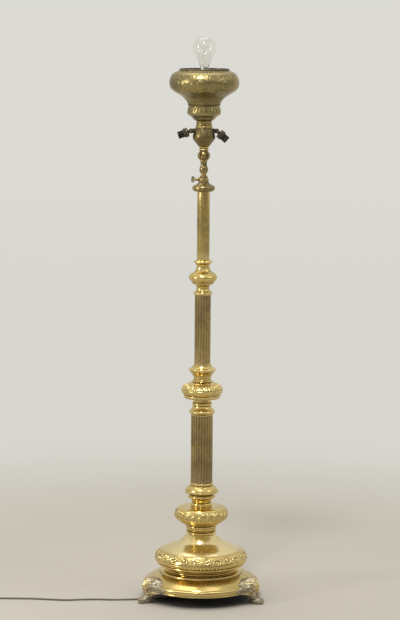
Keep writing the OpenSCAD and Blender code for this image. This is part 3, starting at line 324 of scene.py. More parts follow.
plain = {
    **polished, **drawnLines, "bright": (0.46, 0.345, 0.12), "dull": (0.29, 0.215, 0.08),
    "rubbed": (0.72, 0.56, 0.24), "deep": tone(60, 46, 26), "tarnish": 1.0, "cloudFrom": 0.5,
    "rough": 0.24, "dents": 12, "spots": 0.8,
}
headTone = {**plain, **ringLines, "bright": (0.34, 0.26, 0.10), "dull": (0.22, 0.175, 0.08), "rough": 0.22,
            "dentDepth": 0.15}
thumbTone = {**plain, **ringLines, "bright": (0.38, 0.335, 0.22), "dull": (0.25, 0.22, 0.14), "rough": 0.26,
             "dentDepth": 0.2}
urnTone = {**headTone, "bright": (0.235, 0.18, 0.07), "dull": (0.16, 0.125, 0.055), "rough": 0.3}
flareTone = {**polished, "bright": (0.80, 0.67, 0.35), "dull": (0.60, 0.49, 0.24), "rough": 0.2}
discTone = {**polished, "bright": (0.60, 0.46, 0.17), "dull": (0.44, 0.335, 0.125), "rough": 0.17}
antique = {
    **polished, "bright": (0.36, 0.28, 0.115), "dull": (0.22, 0.18, 0.085), "rubbed": (0.70, 0.56, 0.25),
    "deep": tone(56, 44, 20), "tarnish": 1.0, "cloudFrom": 0.5, "rough": 0.25, "rub": 1.0, "dirt": 1.0,
    "lineDepth": 0.01, "pitDepth": 0.09, "spots": 0.5,
}
casting = {
    **polished, "bright": (0.47, 0.40, 0.235), "dull": (0.32, 0.295, 0.20), "rubbed": (0.80, 0.62, 0.26),
    "deep": tone(66, 60, 44), "cloud": 34, "tarnish": 1.0, "cloudFrom": 0.45, "rough": 0.34, "rub": 1.0,
    "dirt": 1.0, "lineDepth": 0.0, "dents": 140, "dentDepth": 0.5, "pitDepth": 0.3, "spots": 0.8,
    "rust": 0.85, "redFleck": (0.22, 0.12, 0.06), "paleFleck": (0.62, 0.60, 0.56),
}
bronze = {
    **polished, "bright": (0.080, 0.065, 0.044), "dull": (0.048, 0.040, 0.029), "rubbed": (0.24, 0.20, 0.14),
    "deep": tone(28, 24, 19), "cloud": 60, "tarnish": 1.0, "cloudFrom": 0.5, "rough": 0.42, "spots": 0.6,
    "dents": 120, "dentDepth": 0.3, "pitDepth": 0.1,
}


def steel(name, colour, rough, lines):
    finish = Finish(name)
    grain = finish.noise(lines["lineScale"], 2.0, 0.5, lines["lineStretch"])
    stain = finish.spread(finish.noise(45, 4.0, 0.65), 0.45, 0.7)
    finish.set(BaseColor=finish.mix(stain * 0.5, colour, tuple(0.6 * v for v in colour)), Metallic=1.0)
    finish.set(Roughness=rough + stain * 0.15 + grain * 0.1)
    finish.bump(grain, 0.02 * mm)
    return finish.material


def painted(name, colour, rough, grain, depth, metallic=0.0, coat=0.0, fleck=0.85):
    # Paint, rough iron, moulded plastic and glazed china differ in grain, gloss and coat
    finish = Finish(name)
    skin = finish.noise(grain, 4.0, 0.6)
    patches = finish.spread(finish.noise(grain / 9, 3.0, 0.6), 0.4, 0.7)
    wearAndLight = finish.spread(finish.attribute("wear"), 0.1, 0.6)
    shade = finish.mix(patches * 0.7, colour, tuple(fleck * v for v in colour))
    finish.set(BaseColor=finish.mix(wearAndLight * 0.25, shade, tuple(min(1, 1.25 * v) for v in colour)))
    finish.set(Metallic=metallic, Roughness=rough + patches * 0.12 - wearAndLight * 0.05, CoatWeight=coat)
    finish.bump(skin, depth * mm)
    return finish.material


def clearGlass(name):
    finish = Finish(name)
    waves = finish.noise(60, 2.0)
    dust = finish.spread(finish.noise(700, 3.0), 0.55, 0.75)
    finish.set(BaseColor=finish.mix(dust * 0.12, (0.965, 0.958, 0.93), (0.85, 0.84, 0.80)))
    finish.set(Roughness=dust * 0.05, TransmissionWeight=1.0, IOR=1.46)
    finish.bump(waves, 0.05 * mm)
    return finish.material


finishes = {
    "polished_brass": brass("polishedBrass", polished),
    "foot_brass": brass("footBrass", casting),
    "reeded_brass": brass("reededBrass", reeded),
    "plain_brass": brass("plainBrass", plain),
    "cup_brass": brass("cupBrass", antique),
    "dark_bronze": brass("darkBronze", bronze),
    "thumb_brass": brass("thumbBrass", thumbTone),
    "pin_brass": brass("pinBrass", {**polished, "tarnish": 0.2, "rough": 0.18}),
    "steel": steel("turnedSteel", (0.50, 0.50, 0.50), 0.3, ringLines),
    "zinc_screw": steel("zincScrew", (0.55, 0.55, 0.52), 0.35, ringLines),
    "filament_wire": steel("filamentWire", (0.16, 0.155, 0.15), 0.4, drawnLines),
    "cap_metal": steel("bulbCap", (0.72, 0.71, 0.68), 0.28, ringLines),
    "iron": painted("castIron", tone(62, 60, 57), 0.6, 500, 0.35, metallic=0.3),
    "plate_paint": painted("plateMetal", tone(84, 80, 73), 0.55, 260, 0.06, metallic=0.4),
    "bush_plastic": painted("bushPlastic", tone(38, 36, 34), 0.45, 900, 0.03),
    "guide_plastic": painted("guidePlastic", tone(222, 218, 206), 0.4, 700, 0.02, fleck=0.94),
    "ceramic": painted("glazedChina", tone(228, 221, 204), 0.22, 120, 0.03, coat=0.6, fleck=0.93),
    "cord_plastic": painted("cordSheath", tone(104, 96, 84), 0.42, 1200, 0.05, fleck=0.8),
    "plug_plastic": painted("plugPlastic", tone(226, 220, 206), 0.34, 800, 0.02, fleck=0.95),
    "clear_glass": clearGlass("clearGlass"),
    # Tones of single pieces, whose slots are among those above
    "embossed": brass("embossedBrass", embossed),
    "disc": brass("discBrass", discTone),
    "flare": brass("flareBrass", flareTone),
    "head": brass("headBrass", headTone),
    "urn": brass("urnBrass", urnTone),
}
print("finishes made:", len(finishes))


# Modelling helpers

def startFresh():
    if bpy.context.mode != "OBJECT":
        bpy.ops.object.mode_set(mode="OBJECT")
    bpy.ops.object.select_all(action="DESELECT")


def readSpots(mesh):
    spots = np.empty(len(mesh.vertices) * 3)
    mesh.vertices.foreach_get("co", spots)
    return spots.reshape(-1, 3)


def writeSpots(mesh, spots):
    mesh.vertices.foreach_set("co", np.asarray(spots, dtype=float).ravel())
    mesh.update()


def readNumbers(mesh, name):
    values = np.empty(len(mesh.vertices))
    mesh.attributes[name].data.foreach_get("value", values)
    return values


def writeNumbers(mesh, name, values):
    held = mesh.attributes.get(name) or mesh.attributes.new(name, "FLOAT", "POINT")
    held.data.foreach_set("value", np.asarray(values, dtype=float))


def curved(points, steps=6):
    # Smooth curve through all the points
    ends = [points[0], *points, points[-1]]
    spots = [np.array(p, dtype=float) for p in ends]
    line = []
    for a, b, c, d in zip(spots, spots[1:], spots[2:], spots[3:]):
        for k in range(steps):
            t = k / steps
            line.append(0.5 * (2 * b + (c - a) * t + (2 * a - 5 * b + 4 * c - d) * t * t
                               + (3 * b - a - 3 * c + d) * t ** 3))
    return line + [spots[-1]]


def bead(radius, low, high, out, steps=8):
    # Half round moulding on a line at a radius, a hollow where out is negative
    return [(radius + out * math.sin(math.pi * k / steps),
             low + (high - low) * (1 - math.cos(math.pi * k / steps)) / 2) for k in range(steps + 1)]


def eased(line, cut=0.5, steps=3):
    # Rounds the corners of a closed section
    line = np.array(line, dtype=float)
    apart = np.hypot(*(line - np.roll(line, 1, axis=0)).T)
    line = line[apart > 1e-4]
    rounded = []
    for before, here, after in zip(np.roll(line, 1, axis=0), line, np.roll(line, -1, axis=0)):
        lengthIn, lengthOut = np.linalg.norm(here - before), np.linalg.norm(after - here)
        way, leaving = (here - before) / lengthIn, (after - here) / lengthOut
        if way @ leaving > 0.9:
            rounded.append(here)
            continue
        first = here - way * min(cut, 0.42 * lengthIn)
        last = here + leaving * min(cut, 0.42 * lengthOut)
        for k in range(steps + 1):
            t = k / steps
            rounded.append((1 - t) ** 2 * first + 2 * t * (1 - t) * here + t * t * last)
    return np.array(rounded)


def refined(line, low, high, step):
    # Adds points where the outside of a closed section is to be embossed
    result = []
    for here, after in zip(line, np.roll(line, -1, axis=0)):
        result.append(here)
        middle = (here[1] + after[1]) / 2
        if low < middle < high and after[1] > here[1] - 1e-6:
            parts = math.ceil(np.linalg.norm(after - here) / step)
            result.extend(here + (after - here) * k / parts for k in range(1, parts))
    return np.array(result)


def outward(line):
    along = np.roll(line, -1, axis=0) - np.roll(line, 1, axis=0)
    along /= np.maximum(np.hypot(*along.T), 1e-9)[:, None]
    return np.c_[along[:, 1], -along[:, 0]]


def edgeWear(line, reach=1.6):
    # How far each point of the closed section stands out of, or lies below, its surroundings
    closed = np.r_[line, line[:1]]
    along = np.r_[0, np.cumsum(np.hypot(*np.diff(closed, axis=0).T))]
    around = np.zeros_like(line)
    for side in (-1, 1):
        at = (along[:-1] + side * reach) % along[-1]
        around += np.c_[np.interp(at, along, closed[:, 0]), np.interp(at, along, closed[:, 1])] / 2
    stands = ((line - around) * outward(line)).sum(axis=1) / reach
    return np.clip(1.5 * stands, -1, 1)


def closeUp(angle):
    # From edit mode: normals outwards, then smooth shading up to an angle in degrees
    bpy.ops.mesh.select_all(action="SELECT")
    bpy.ops.mesh.normals_make_consistent(inside=False)
    bpy.ops.object.mode_set(mode="OBJECT")
    bpy.ops.object.shade_smooth_by_angle(angle=math.radians(angle))


def turn(name, line, steps=96, cells=8):
    # Spins a closed section of radius and height in millimetres: one sector, then its copies
    startFresh()
    bpy.ops.mesh.primitive_circle_add(vertices=len(line), radius=10 * mm)
    piece = bpy.context.object
    piece.name = piece.data.name = name
    writeSpots(piece.data, np.c_[line[:, 0], np.zeros(len(line)), line[:, 1]] * mm)
    writeNumbers(piece.data, "row", np.arange(len(line)))
    writeNumbers(piece.data, "wear", edgeWear(line))
    bpy.ops.object.mode_set(mode="EDIT")
    bpy.ops.mesh.select_all(action="SELECT")
    bpy.ops.mesh.spin(steps=steps // cells, angle=fullTurn / cells, center=(0, 0, 0), axis=(0, 0, 1))
    bpy.ops.mesh.select_all(action="SELECT")
    bpy.ops.mesh.spin(steps=cells - 1, dupli=True, angle=fullTurn * (cells - 1) / cells,
                      center=(0, 0, 0), axis=(0, 0, 1))
    bpy.ops.mesh.select_all(action="SELECT")
    bpy.ops.mesh.remove_doubles(threshold=0.002 * mm)
    bpy.ops.mesh.delete_loose()
    closeUp(50)
    return piece


def blurred(heights, reach):
    soft = heights
    for axis in (0, 1):
        soft = sum(np.roll(soft, k, axis) for k in range(-reach, reach + 1)) / (2 * reach + 1)
    return soft


def emboss(piece, line, heights, depth):
    # Moves the skin along its normal by the heights, one row a section point, one column a step
    steps = heights.shape[1]
    spots = readSpots(piece.data)
    row = np.rint(readNumbers(piece.data, "row")).astype(int)
    angle = np.arctan2(spots[:, 1], spots[:, 0])
    column = np.rint(angle / fullTurn * steps).astype(int) % steps
    lift = heights[row, column] * mm
    normal = outward(line)[row]
    spots += (lift * normal[:, 0])[:, None] * np.c_[np.cos(angle), np.sin(angle), np.zeros(len(angle))]
    spots[:, 2] += lift * normal[:, 1]
    writeSpots(piece.data, spots)
    darkened = (heights - blurred(heights, 4)) / depth
    wear = readNumbers(piece.data, "wear") + darkened[row, column]
    writeNumbers(piece.data, "wear", np.clip(wear, -1, 1))


def ornament(piece, line, band, design):
    # Repeats a design, drawn on one cell in millimetres, round the part of the skin between two heights
    steps, cells = band["steps"], band["cells"]
    inside = (line[:, 1] >= band["low"]) & (line[:, 1] <= band["high"])
    held = np.where(inside & (outward(line)[:, 0] > 0.02))[0]  # the skin that faces out
    along = np.r_[0, np.cumsum(np.hypot(*np.diff(line[held], axis=0).T))]
    columns = steps // cells
    wide = fullTurn * line[held, 0].max() / cells
    across = ((np.arange(columns) + 0.5) / columns - 0.5) * wide
    cell = design(*np.meshgrid(across, along), wide, along[-1])
    heights = np.zeros((len(line), steps))
    heights[held] = np.tile(cell, cells)
    if "soft" in band:
        heights = blurred(heights, band["soft"]) * band["strength"]
    shift = round(band.get("turned", 0) / 360 * steps)
    emboss(piece, line, np.roll(heights, shift, axis=1), band["depth"])


def halfRound(distance):
    # Height of a half round, 1 in its middle and 0 from distance 1 on
    return np.sqrt(np.clip(1 - distance ** 2, 0, 1))


def stroke(u, v, points, wide, tall, vein=0.0, wrap=None):
    # Rounded ridge along a curve; wide is its half width from start to end
    line = np.array(curved(points, 4))
    widths = np.interp(np.linspace(0, 1, len(line)), np.linspace(0, 1, len(wide)), wide)
    best = np.full(u.shape, 9.0)
    for shift in ((-wrap, 0, wrap) if wrap else (0,)):
        for a, b, wideA, wideB in zip(line, line[1:], widths, widths[1:]):
            way = b - a
            du, dv = u - a[0] - shift, v - a[1]
            t = np.clip((du * way[0] + dv * way[1]) / max(way @ way, 1e-9), 0, 1)
            far = np.hypot(du - t * way[0], dv - t * way[1]) / (wideA + (wideB - wideA) * t)
            best = np.minimum(best, far)
    ridge = tall * halfRound(best)
    return ridge * (1 - vein * np.exp(-(best / 0.25) ** 2))


def polar(centre, radius, angle):
    return centre[0] + radius * math.cos(angle), centre[1] + radius * math.sin(angle)


def spiral(centre, start, end, angle, turns, steps=14):
    # Points of a scroll that winds from one radius to another
    return [polar(centre, start + (end - start) * k / steps, math.radians(angle + 360 * turns * k / steps))
            for k in range(steps + 1)]


def rosette(u, v, centre, radius, petals, tall):
    du, dv = u - centre[0], v - centre[1]
    far = np.hypot(du, dv)
    petal = np.abs(np.cos(petals * np.arctan2(dv, du) / 2))
    leaves = halfRound(far / (radius * (0.7 + 0.3 * petal))) * (0.55 + 0.45 * petal)
    return tall * np.where(far < 0.36 * radius, halfRound(far / (0.3 * radius)), leaves)


def joined(*ridges):
    return np.maximum.reduce(ridges)


def sided(side, points, middle=0):
    # Points to the left or right of a middle line
    return [(middle + side * x, y) for x, y in points]


def thinLine(v, at, wide):
    # Raised line that runs round a piece
    return np.exp(-((v - at) / wide) ** 2)


def within(v, low, high, soft=1.2, softTop=None):
    # 1 between two heights, fading to 0 at both
    return np.clip((v - low) / soft, 0, 1) * np.clip((high - v) / (softTop or soft), 0, 1)


def markWear(piece, scale, rounds=2):
    # Rubbed edges and darker corners from how each point stands against its neighbours
    mesh = piece.data
    spots = readSpots(mesh)
    ends = np.empty(len(mesh.edges) * 2, dtype=int)
    mesh.edges.foreach_get("vertices", ends)
    ends = ends.reshape(-1, 2)
    count = np.bincount(ends.ravel(), minlength=len(spots))[:, None]

    def around(values):
        total = np.zeros_like(values)
        np.add.at(total, ends[:, 0], values[ends[:, 1]])
        np.add.at(total, ends[:, 1], values[ends[:, 0]])
        return total / np.maximum(count, 1)

    soft = spots
    for _ in range(rounds):
        soft = around(soft)
    normals = np.empty(len(spots) * 3)
    mesh.vertices.foreach_get("normal", normals)
    stands = ((spots - soft) * normals.reshape(-1, 3)).sum(axis=1) / (scale * mm)
    writeNumbers(mesh, "wear", np.clip(around(stands[:, None])[:, 0], -1, 1))


def finishPiece(piece, body, slot, *replaced, finish=None):
    piece.data.materials.clear()
    piece.data.materials.append(finishes[finish or slot])
    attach(piece, body)
    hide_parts(*replaced)


def sectionOf(outside, bore, low=0.0, cut=0.4):
    # Closes an outside, drawn from bottom to top, with a straight bore
    line = eased([*outside, (bore, outside[-1][1]), (bore, outside[0][1])], cut)
    line[:, 1] += low
    return line


def tubeAlong(name, path, radius, rounds):
    # Round tube along points, all in millimetres, left as a curve
    shape = bpy.data.curves.new(name, "CURVE")
    shape.dimensions, shape.use_fill_caps = "3D", True
    shape.bevel_depth, shape.bevel_resolution = radius * mm, rounds
    run = shape.splines.new("POLY")
    run.points.add(len(path) - 1)
    for point, spot in zip(run.points, path):
        point.co = (*(Vector(spot) * mm), 1)
    tube = bpy.data.objects.new(name, shape)
    bpy.context.collection.objects.link(tube)
    return tube


# Cord, on the same route as the frame's

cordLook = {"diameter": 4.5, "length": 1.860, "coilAt": (-585, -21), "turns": 7.25, "rings": 24,
            "outer": 36, "inner": 17.9, "tail": 28, "climb": 5}
lay = cordLook["diameter"] / 2
cordRoute = [
    (0, 0, 20.5), (-1.3, -0.4, 13.5), (-5, -1.6, 7.6), (-10.7, -3.4, 3.6), (-18, -6, lay), (-40, -13.5, lay),
    (-70, -24, lay), (-100, -35, lay), (-130, -46, lay), (-160, -55, lay), (-190, -60, lay), (-230, -63, lay),
    (-270, -61, lay), (-310, -64, lay), (-350, -70, lay), (-390, -66, lay), (-430, -59, lay),
    (-470, -57, lay), (-510, -57, lay), (-550, -57, lay), (-580, -57, lay),
]


def cordPath():
    path = [(p[0], p[1], max(p[2], lay)) for p in curved(cordRoute, 4)][:-1]
    half = cordLook["turns"] / 2
    centre = Vector((*cordLook["coilAt"], 0))
    for k in range(int(cordLook["turns"] * cordLook["rings"]) + 1):
        turns = k / cordLook["rings"]
        climb = max(0, min(1, (turns - half + 0.25) / 0.5))
        share = 1 - abs(turns - half) / half
        radius = cordLook["outer"] + (cordLook["inner"] - cordLook["outer"]) * share
        angle = math.radians(-90 - 360 * turns)
        reach = Vector((radius * math.cos(angle), radius * math.sin(angle), lay + cordLook["climb"] * climb))
        path.append(centre + reach)
    last = path[-1]
    return path + [last + Vector((0, cordLook["tail"] * share, 0)) for share in (0.25, 0.5, 0.75, 1)]


cord = tubeAlong("mainsCord", cordPath(), lay, 3)
cord.data.splines[0].use_smooth = True
finishPiece(cord, "column", "cord_plastic", "floor_cord", "cord_coil")
print("cord laid")


# Heights of the turned pieces' feet above the floor

heights = {
    "disc": 28, "stack": 70, "bell": 87, "neck": 168, "cushion": 190, "cap": 240, "lowerCollar": 268,
    "lowerTube": 303, "knopFoot": 482, "middleKnop": 522, "knopCap": 571, "upperTube": 618,
    "upperKnop": 797, "plainTube": 888, "clamp": 1065, "stem": 1113, "cage": 1146, "urn": 1180,
    "urnCap": 1231, "stand": 1246, "cup": 1285, "rim": 1376,
}
strung = 9.95  # bore of what is strung on the column tube


def turnedPiece(name, node, foot, outside, bore=strung, body="column", slot="polished_brass", steps=96):
    finishPiece(turn(name, sectionOf(outside, bore, heights[foot], 0.5), steps), body, slot, node)


def shellPiece(name, node, foot, shape, cut, steps, finish, body="column", slot="polished_brass"):
    # Turned from a closed section, with its inside drawn too
    line = eased(shape, cut)
    line[:, 1] += heights[foot]
    finishPiece(turn(name, line, steps), body, slot, node, finish=finish)


def embossedPiece(name, node, foot, shape, band, design, body="column", slot="polished_brass", finish=None):
    # A closed section with closer points where the band says fine, and the design on its skin
    line = refined(eased(shape, 0.4), *band["fine"])
    line[:, 1] += heights[foot]
    piece = turn(name, line, band["steps"], band.get("sectors", band["cells"]))
    ornament(piece, line, band, design)
    finishPiece(piece, body, slot, node, finish=finish)
    return piece


# name: node, foot, outside from bottom to top, and where they differ bore, body, slot, steps
plainTurned = {
    "ringStack": ("ring_stack", "stack", [
        (93, 0), (93, 0.6), (90.4, 1.5), (90, 2.4), (91, 2.7), *bead(91, 2.8, 8.2, 6, 10), (91.5, 8.5),
        (91.5, 9.3), (93.5, 9.6), *bead(95, 10, 15, 9, 12), (103, 15.3), (104, 15.6), (107, 17)],
        80, "column", "polished_brass", 128),
    "neckCollar": ("neck_collar", "neck", [
        (37, 0), *bead(37.5, 0.6, 5.6, 3), (36.2, 6), (36, 7),
        *curved([(36.5, 8), (39, 12), (40.2, 17)], 5), (40.3, 18.2), (41.5, 18.8), (41.8, 20.6), (41, 22)]),
    "cushionCap": ("cushion_cap", "cap", [
        (28, 0), (28, 1), *bead(26, 1.5, 9.5, 3), (24.5, 10), (24.5, 10.8),
        *curved([(24.6, 11.4), (26, 16), (30.5, 21), (34.8, 24)]), (35.4, 24.8), (37.4, 25.4), (37.4, 28)]),
    "knopFoot": ("knop_foot", "knopFoot", [
        (29, 0), (29, 2.6), (29.8, 3.2), *curved([(30.5, 4), (33.3, 7), (34, 10), (32.5, 13)], 5),
        (31.4, 13.4), (30.4, 14), *curved([(28.8, 15.4), (27, 17.6), (24.6, 21.4), (23.4, 25)], 4),
        (23.5, 25.6), *bead(24, 26, 33, 2.7), (23.1, 33.8), (22.9, 40)]),
    "knopCap": ("knop_cap", "knopCap", [
        (27, 0), (27, 0.8), (24.4, 2.4), (22.5, 5), (22.3, 7),
        *curved([(22.6, 9), (24, 13), (24.8, 16)], 4), (25.8, 16.6), (26.2, 18),
        *curved([(28.4, 20), (30.4, 23), (33, 26.8)], 4), (33.4, 28), (35.6, 29), (36, 30.2), (36, 32),
        (35.2, 33.2), *curved([(33, 34), (27.4, 36.6), (24.6, 40)], 4), (23.6, 41.2), (23, 42), (23, 47)]),
    "upperKnop": ("upper_knop", "upperKnop", [
        (22, 0), *bead(22, 1, 8, 3), (21, 8.6),
        *curved([(20.4, 10), (18, 13), (16.5, 19), (18.5, 24), (23.4, 27.6)], 5),
        (24, 28.4), (28.2, 29.6), (29, 30.6), (29, 32.6), (28.8, 33.6),
        *curved([(31, 35.8), (35.8, 41), (37, 46), (35.4, 51), (31, 56.6)]), (29.6, 57.2), (28.8, 56.9),
        (25, 59), (23, 60.5), (21, 62), (20.5, 64), *curved([(19, 66.4), (17, 74), (18.4, 79), (21, 82.2)]),
        (21.4, 83), (24.2, 84.6), (25, 86.4), (24.6, 88), (23, 89), (20, 91)]),
    "plainTube": ("plain_tube", "plainTube", [
        (16.3, 0), (16.3, 40), (16.3, 80), (16.3, 120), (16.3, 177)], 14.9, "column", "plain_brass"),
    "urnCap": ("urn_cap", "urnCap", [
        (21.4, 0), (21.8, 0.6), (21.8, 2.2), (21.3, 3.2), (20.6, 3.9), (20.1, 5.6), (19.9, 8), (19.9, 11),
        (20, 12.6), (20.2, 15)], 5.2, "head", "plain_brass", 72),
    "cupRim": ("cup_rim", "rim", [
        (63.4, 0), (64.4, 0.8), (64.6, 2), (64.4, 3.2), (63.6, 4)], 61, "head", "dark_bronze", 128),
}
for name, values in plainTurned.items():
    turnedPiece(name, *values)

# Base disc, a spun shell that is open below
shellPiece("baseDisc", "base_disc", "disc", [
    (147.5, 0), (149.2, 1.2), (149.7, 3), (149, 4.2), (149.2, 5), (150, 6.4), (150, 13.4), (149.2, 15.2),
    (147, 16.6), (145.6, 16.4), (145.2, 17.4), *curved([(144, 19), (132, 27), (119, 33.6), (110, 36.8)], 8),
    (108.2, 36.6), (107.6, 37.4), (107, 39), (106.6, 40.8), (105, 42), (78, 42), (78, 40.4), (103, 40.4),
    (105.8, 35.4), (109.4, 35.2), (118.3, 32.1), (131.2, 25.5), (142.8, 17.8), (146.6, 15), (148.4, 12.8),
    (148.4, 6.4), (147.6, 1)], 0.5, 144, "disc")
print("plain turned pieces:", len(plainTurned) + 1)


# Feet: a turned-up toe, a shank, a rounded knee, and a leaf that clasps the disc's edge

footLook = {
    "across": 160, "within": 28, "between": 5, "leafThick": 2.4, "kneeWide": 17,
    "domeFrom": 43, "domeOver": 3, "veinDepth": 0.7, "veinsFrom": 20, "veinsOver": 12,
    # the knee's rubbed patch, also a painted highlight: strength, place along the foot, width, height
    "rub": 0.55, "rubAt": 68, "rubWide": 13, "rubTall": 17,
    "angles": {"Left": -150, "Right": -30, "Back": 90},
}
# Outer and inner point of each level on the foot's middle line, then half width
footShank = [
    (178, 0, 151, 0, 9), (184, 1, 149, 1.5, 10.5), (187.2, 4.5, 146, 5, 11.8), (188.2, 8.5, 142.5, 9, 11.8),
    (187.8, 11.5, 140, 12, 10.6), (186, 13.4, 138.4, 14, 9.4), (183.6, 13.2, 137.2, 15.4, 9.2),
    (181, 12, 136.2, 16.8, 11.5), (177.5, 12.2, 135.2, 18.4, 14.5), (173.6, 15.6, 134, 20.4, 18.5),
    (170.8, 20.4, 132.6, 22.6, 23), (169.4, 25, 131, 25, 28), (169, 27.4, 129, 27.4, 32),
]
# The same for the leaf, whose inner point is its seat on the disc
footLeaf = [
    (168.4, 30, 150.2, 28.4, 36), (168.3, 32.5, 150.2, 31, 47), (170.5, 37, 150.2, 35, 54),
    (172, 43, 150.2, 39.5, 57), (171.6, 49, 149.9, 43.5, 54), (169.3, 54.5, 147.5, 45.6, 44),
    (165.3, 58.8, 144.4, 47.4, 33), (159.5, 61.8, 140.6, 49.9, 36), (152.8, 63.6, 136.6, 52.5, 33),
    (146, 64, 132.2, 55.3, 25), (139.5, 63.2, 128.4, 57.4, 16), (134, 61.5, 125.6, 59, 8),
    (130.5, 60.2, 124, 59.9, 2),
]


def footVeins(u, v):
    # Ridges of the leaf, drawn across and along the foot from the toe upwards
    parts = [stroke(u, v, [(0, 30), (0, 60), (0, 112)], (1.2, 2.2, 1.0), 1.1)]
    for side in (-1, 1):
        for near, far in ((4.2, 8), (8.2, 17)):
            points = sided(side, [(near * 0.7, 30), (near, 44), (far, 60)])
            parts.append(stroke(u, v, points, (1.0, 1.7, 1.3), 0.9))
        for k in range(5):
            y = 58 + 9.5 * k
            points = sided(side, [(1.5, y), (9 - k, y + 5), (16 - 1.6 * k, y + 13)])
            parts.append(stroke(u, v, points, (1.2, 2.0, 0.8), 0.9, vein=0.3))
        for points in (((13, 51), (30, 51.5), (46, 53)), ((13, 53), (32, 57), (55, 62)),
                       ((13, 56), (30, 64), (49, 70)), ((12, 62), (24, 72), (38, 77)),
                       ((11, 78), (21, 85), (33, 91)), ((9, 84), (16, 94), (24, 100))):
            parts.append(stroke(u, v, sided(side, points), (1.6, 3.0, 1.2), 1.2, vein=0.4))
    ground = 0.16 * np.sin(0.9 * u + 0.6 * np.sin(0.5 * v)) * np.sin(0.8 * v)
    return joined(*parts) + ground


def makeFoot():
    rows = [(*r, 0) for r in footShank] + [(*r, 1) for r in footLeaf]
    levels = np.array(curved(rows, footLook["between"]))
    xc, zc, xi, zi, half, leafy = levels.T
    half, leafy = np.maximum(half, 1), np.clip(leafy, 0, 1)
    v = np.r_[0, np.cumsum(np.hypot(np.diff(xc), np.diff(zc)))]
    front = -np.cos(math.pi * np.arange(footLook["across"] + 1) / footLook["across"])
    back = np.cos(math.pi * np.arange(1, footLook["within"] + 1) / footLook["within"])
    share, outer = np.r_[front, back], np.r_[np.ones(len(front)), np.zeros(len(back))]
    a, out = share[None, :], outer[None, :]
    t = a * half[:, None]
    full = halfRound(a)

    def column(values):
        return values[:, None]

    middleX, middleZ = column((xc + xi) / 2), column((zc + zi) / 2)
    reach = np.where(out > 0.5, 1, -1) * full
    shankX = middleX + column((xc - xi) / 2) * reach
    shankZ = middleZ + column((zc - zi) / 2) * reach
    seat = np.sqrt(np.clip(column(xi) ** 2 - t ** 2, 0, None))
    swell = np.exp(-(t / footLook["kneeWide"]) ** 2) * full * out
    thick = footLook["leafThick"] * np.sqrt(full) * out
    dome = np.clip((column(zi) - footLook["domeFrom"]) / footLook["domeOver"], 0, 1)
    leafX = seat + column(xc - xi) * swell + thick * (1 - 0.5 * dome) + 0.1
    leafZ = column(zi) + column(zc - zi) * swell + thick * 0.86 * dome + 0.05
    x = shankX + (leafX - shankX) * column(leafy)
    z = np.maximum(shankZ + (leafZ - shankZ) * column(leafy), 0)

    startFresh()
    across, down = len(share) - 1, len(levels) - 1
    bpy.ops.mesh.primitive_grid_add(x_subdivisions=across, y_subdivisions=down, size=2)
    foot = bpy.context.object
    spots = readSpots(foot.data)
    columns = np.rint((spots[:, 0] + 1) / 2 * across).astype(int)
    rowsAt = np.rint((spots[:, 1] + 1) / 2 * down).astype(int)
    writeSpots(foot.data, np.c_[x[rowsAt, columns], t[rowsAt, columns], z[rowsAt, columns]] * mm)
    normals = np.empty(len(spots) * 3)
    foot.data.vertices.foreach_get("normal", normals)
    normals = normals.reshape(-1, 3)
    if (normals[:, 0] * out[0, columns]).sum() < 0:
        normals = -normals
    at, up = t[rowsAt, columns], v[rowsAt]
    veined = np.clip((up - footLook["veinsFrom"]) / footLook["veinsOver"], 0, 1)
    edge = np.clip(full[0, columns] * 3, 0, 1) * veined * out[0, columns]
    lift = footLook["veinDepth"] * footVeins(at, up) * edge
    writeSpots(foot.data, readSpots(foot.data) + normals * (lift * mm)[:, None])
    # The knee's top: worn bright, and also a painted highlight where light falls on it
    rub = np.exp(-(at / footLook["rubWide"]) ** 2 - ((up - footLook["rubAt"]) / footLook["rubTall"]) ** 2)
    writeNumbers(foot.data, "knee", footLook["rub"] * rub * out[0, columns])
    bpy.ops.object.mode_set(mode="EDIT")
    bpy.ops.mesh.select_all(action="SELECT")
    bpy.ops.mesh.remove_doubles(threshold=0.01 * mm)
    bpy.ops.mesh.select_all(action="SELECT")
    bpy.ops.mesh.fill_holes(sides=0)
    closeUp(60)
    markWear(foot, 0.5)
    wear = readNumbers(foot.data, "wear") + readNumbers(foot.data, "knee")
    writeNumbers(foot.data, "wear", np.clip(wear, -1, 1))
    return foot


firstFoot = makeFoot()
for word, angle in footLook["angles"].items():
    foot = firstFoot.copy()
    foot.data = firstFoot.data.copy()
    bpy.context.collection.objects.link(foot)
    foot.name = foot.data.name = "foot" + word
    foot.data.transform(Matrix.Rotation(math.radians(angle), 4, "Z"))
    finishPiece(foot, "column", "foot_brass", "foot_" + word.lower())
bpy.data.objects.remove(firstFoot)
print("feet modelled")


# Bell, with a running scroll on the bulge and a row of eggs under it

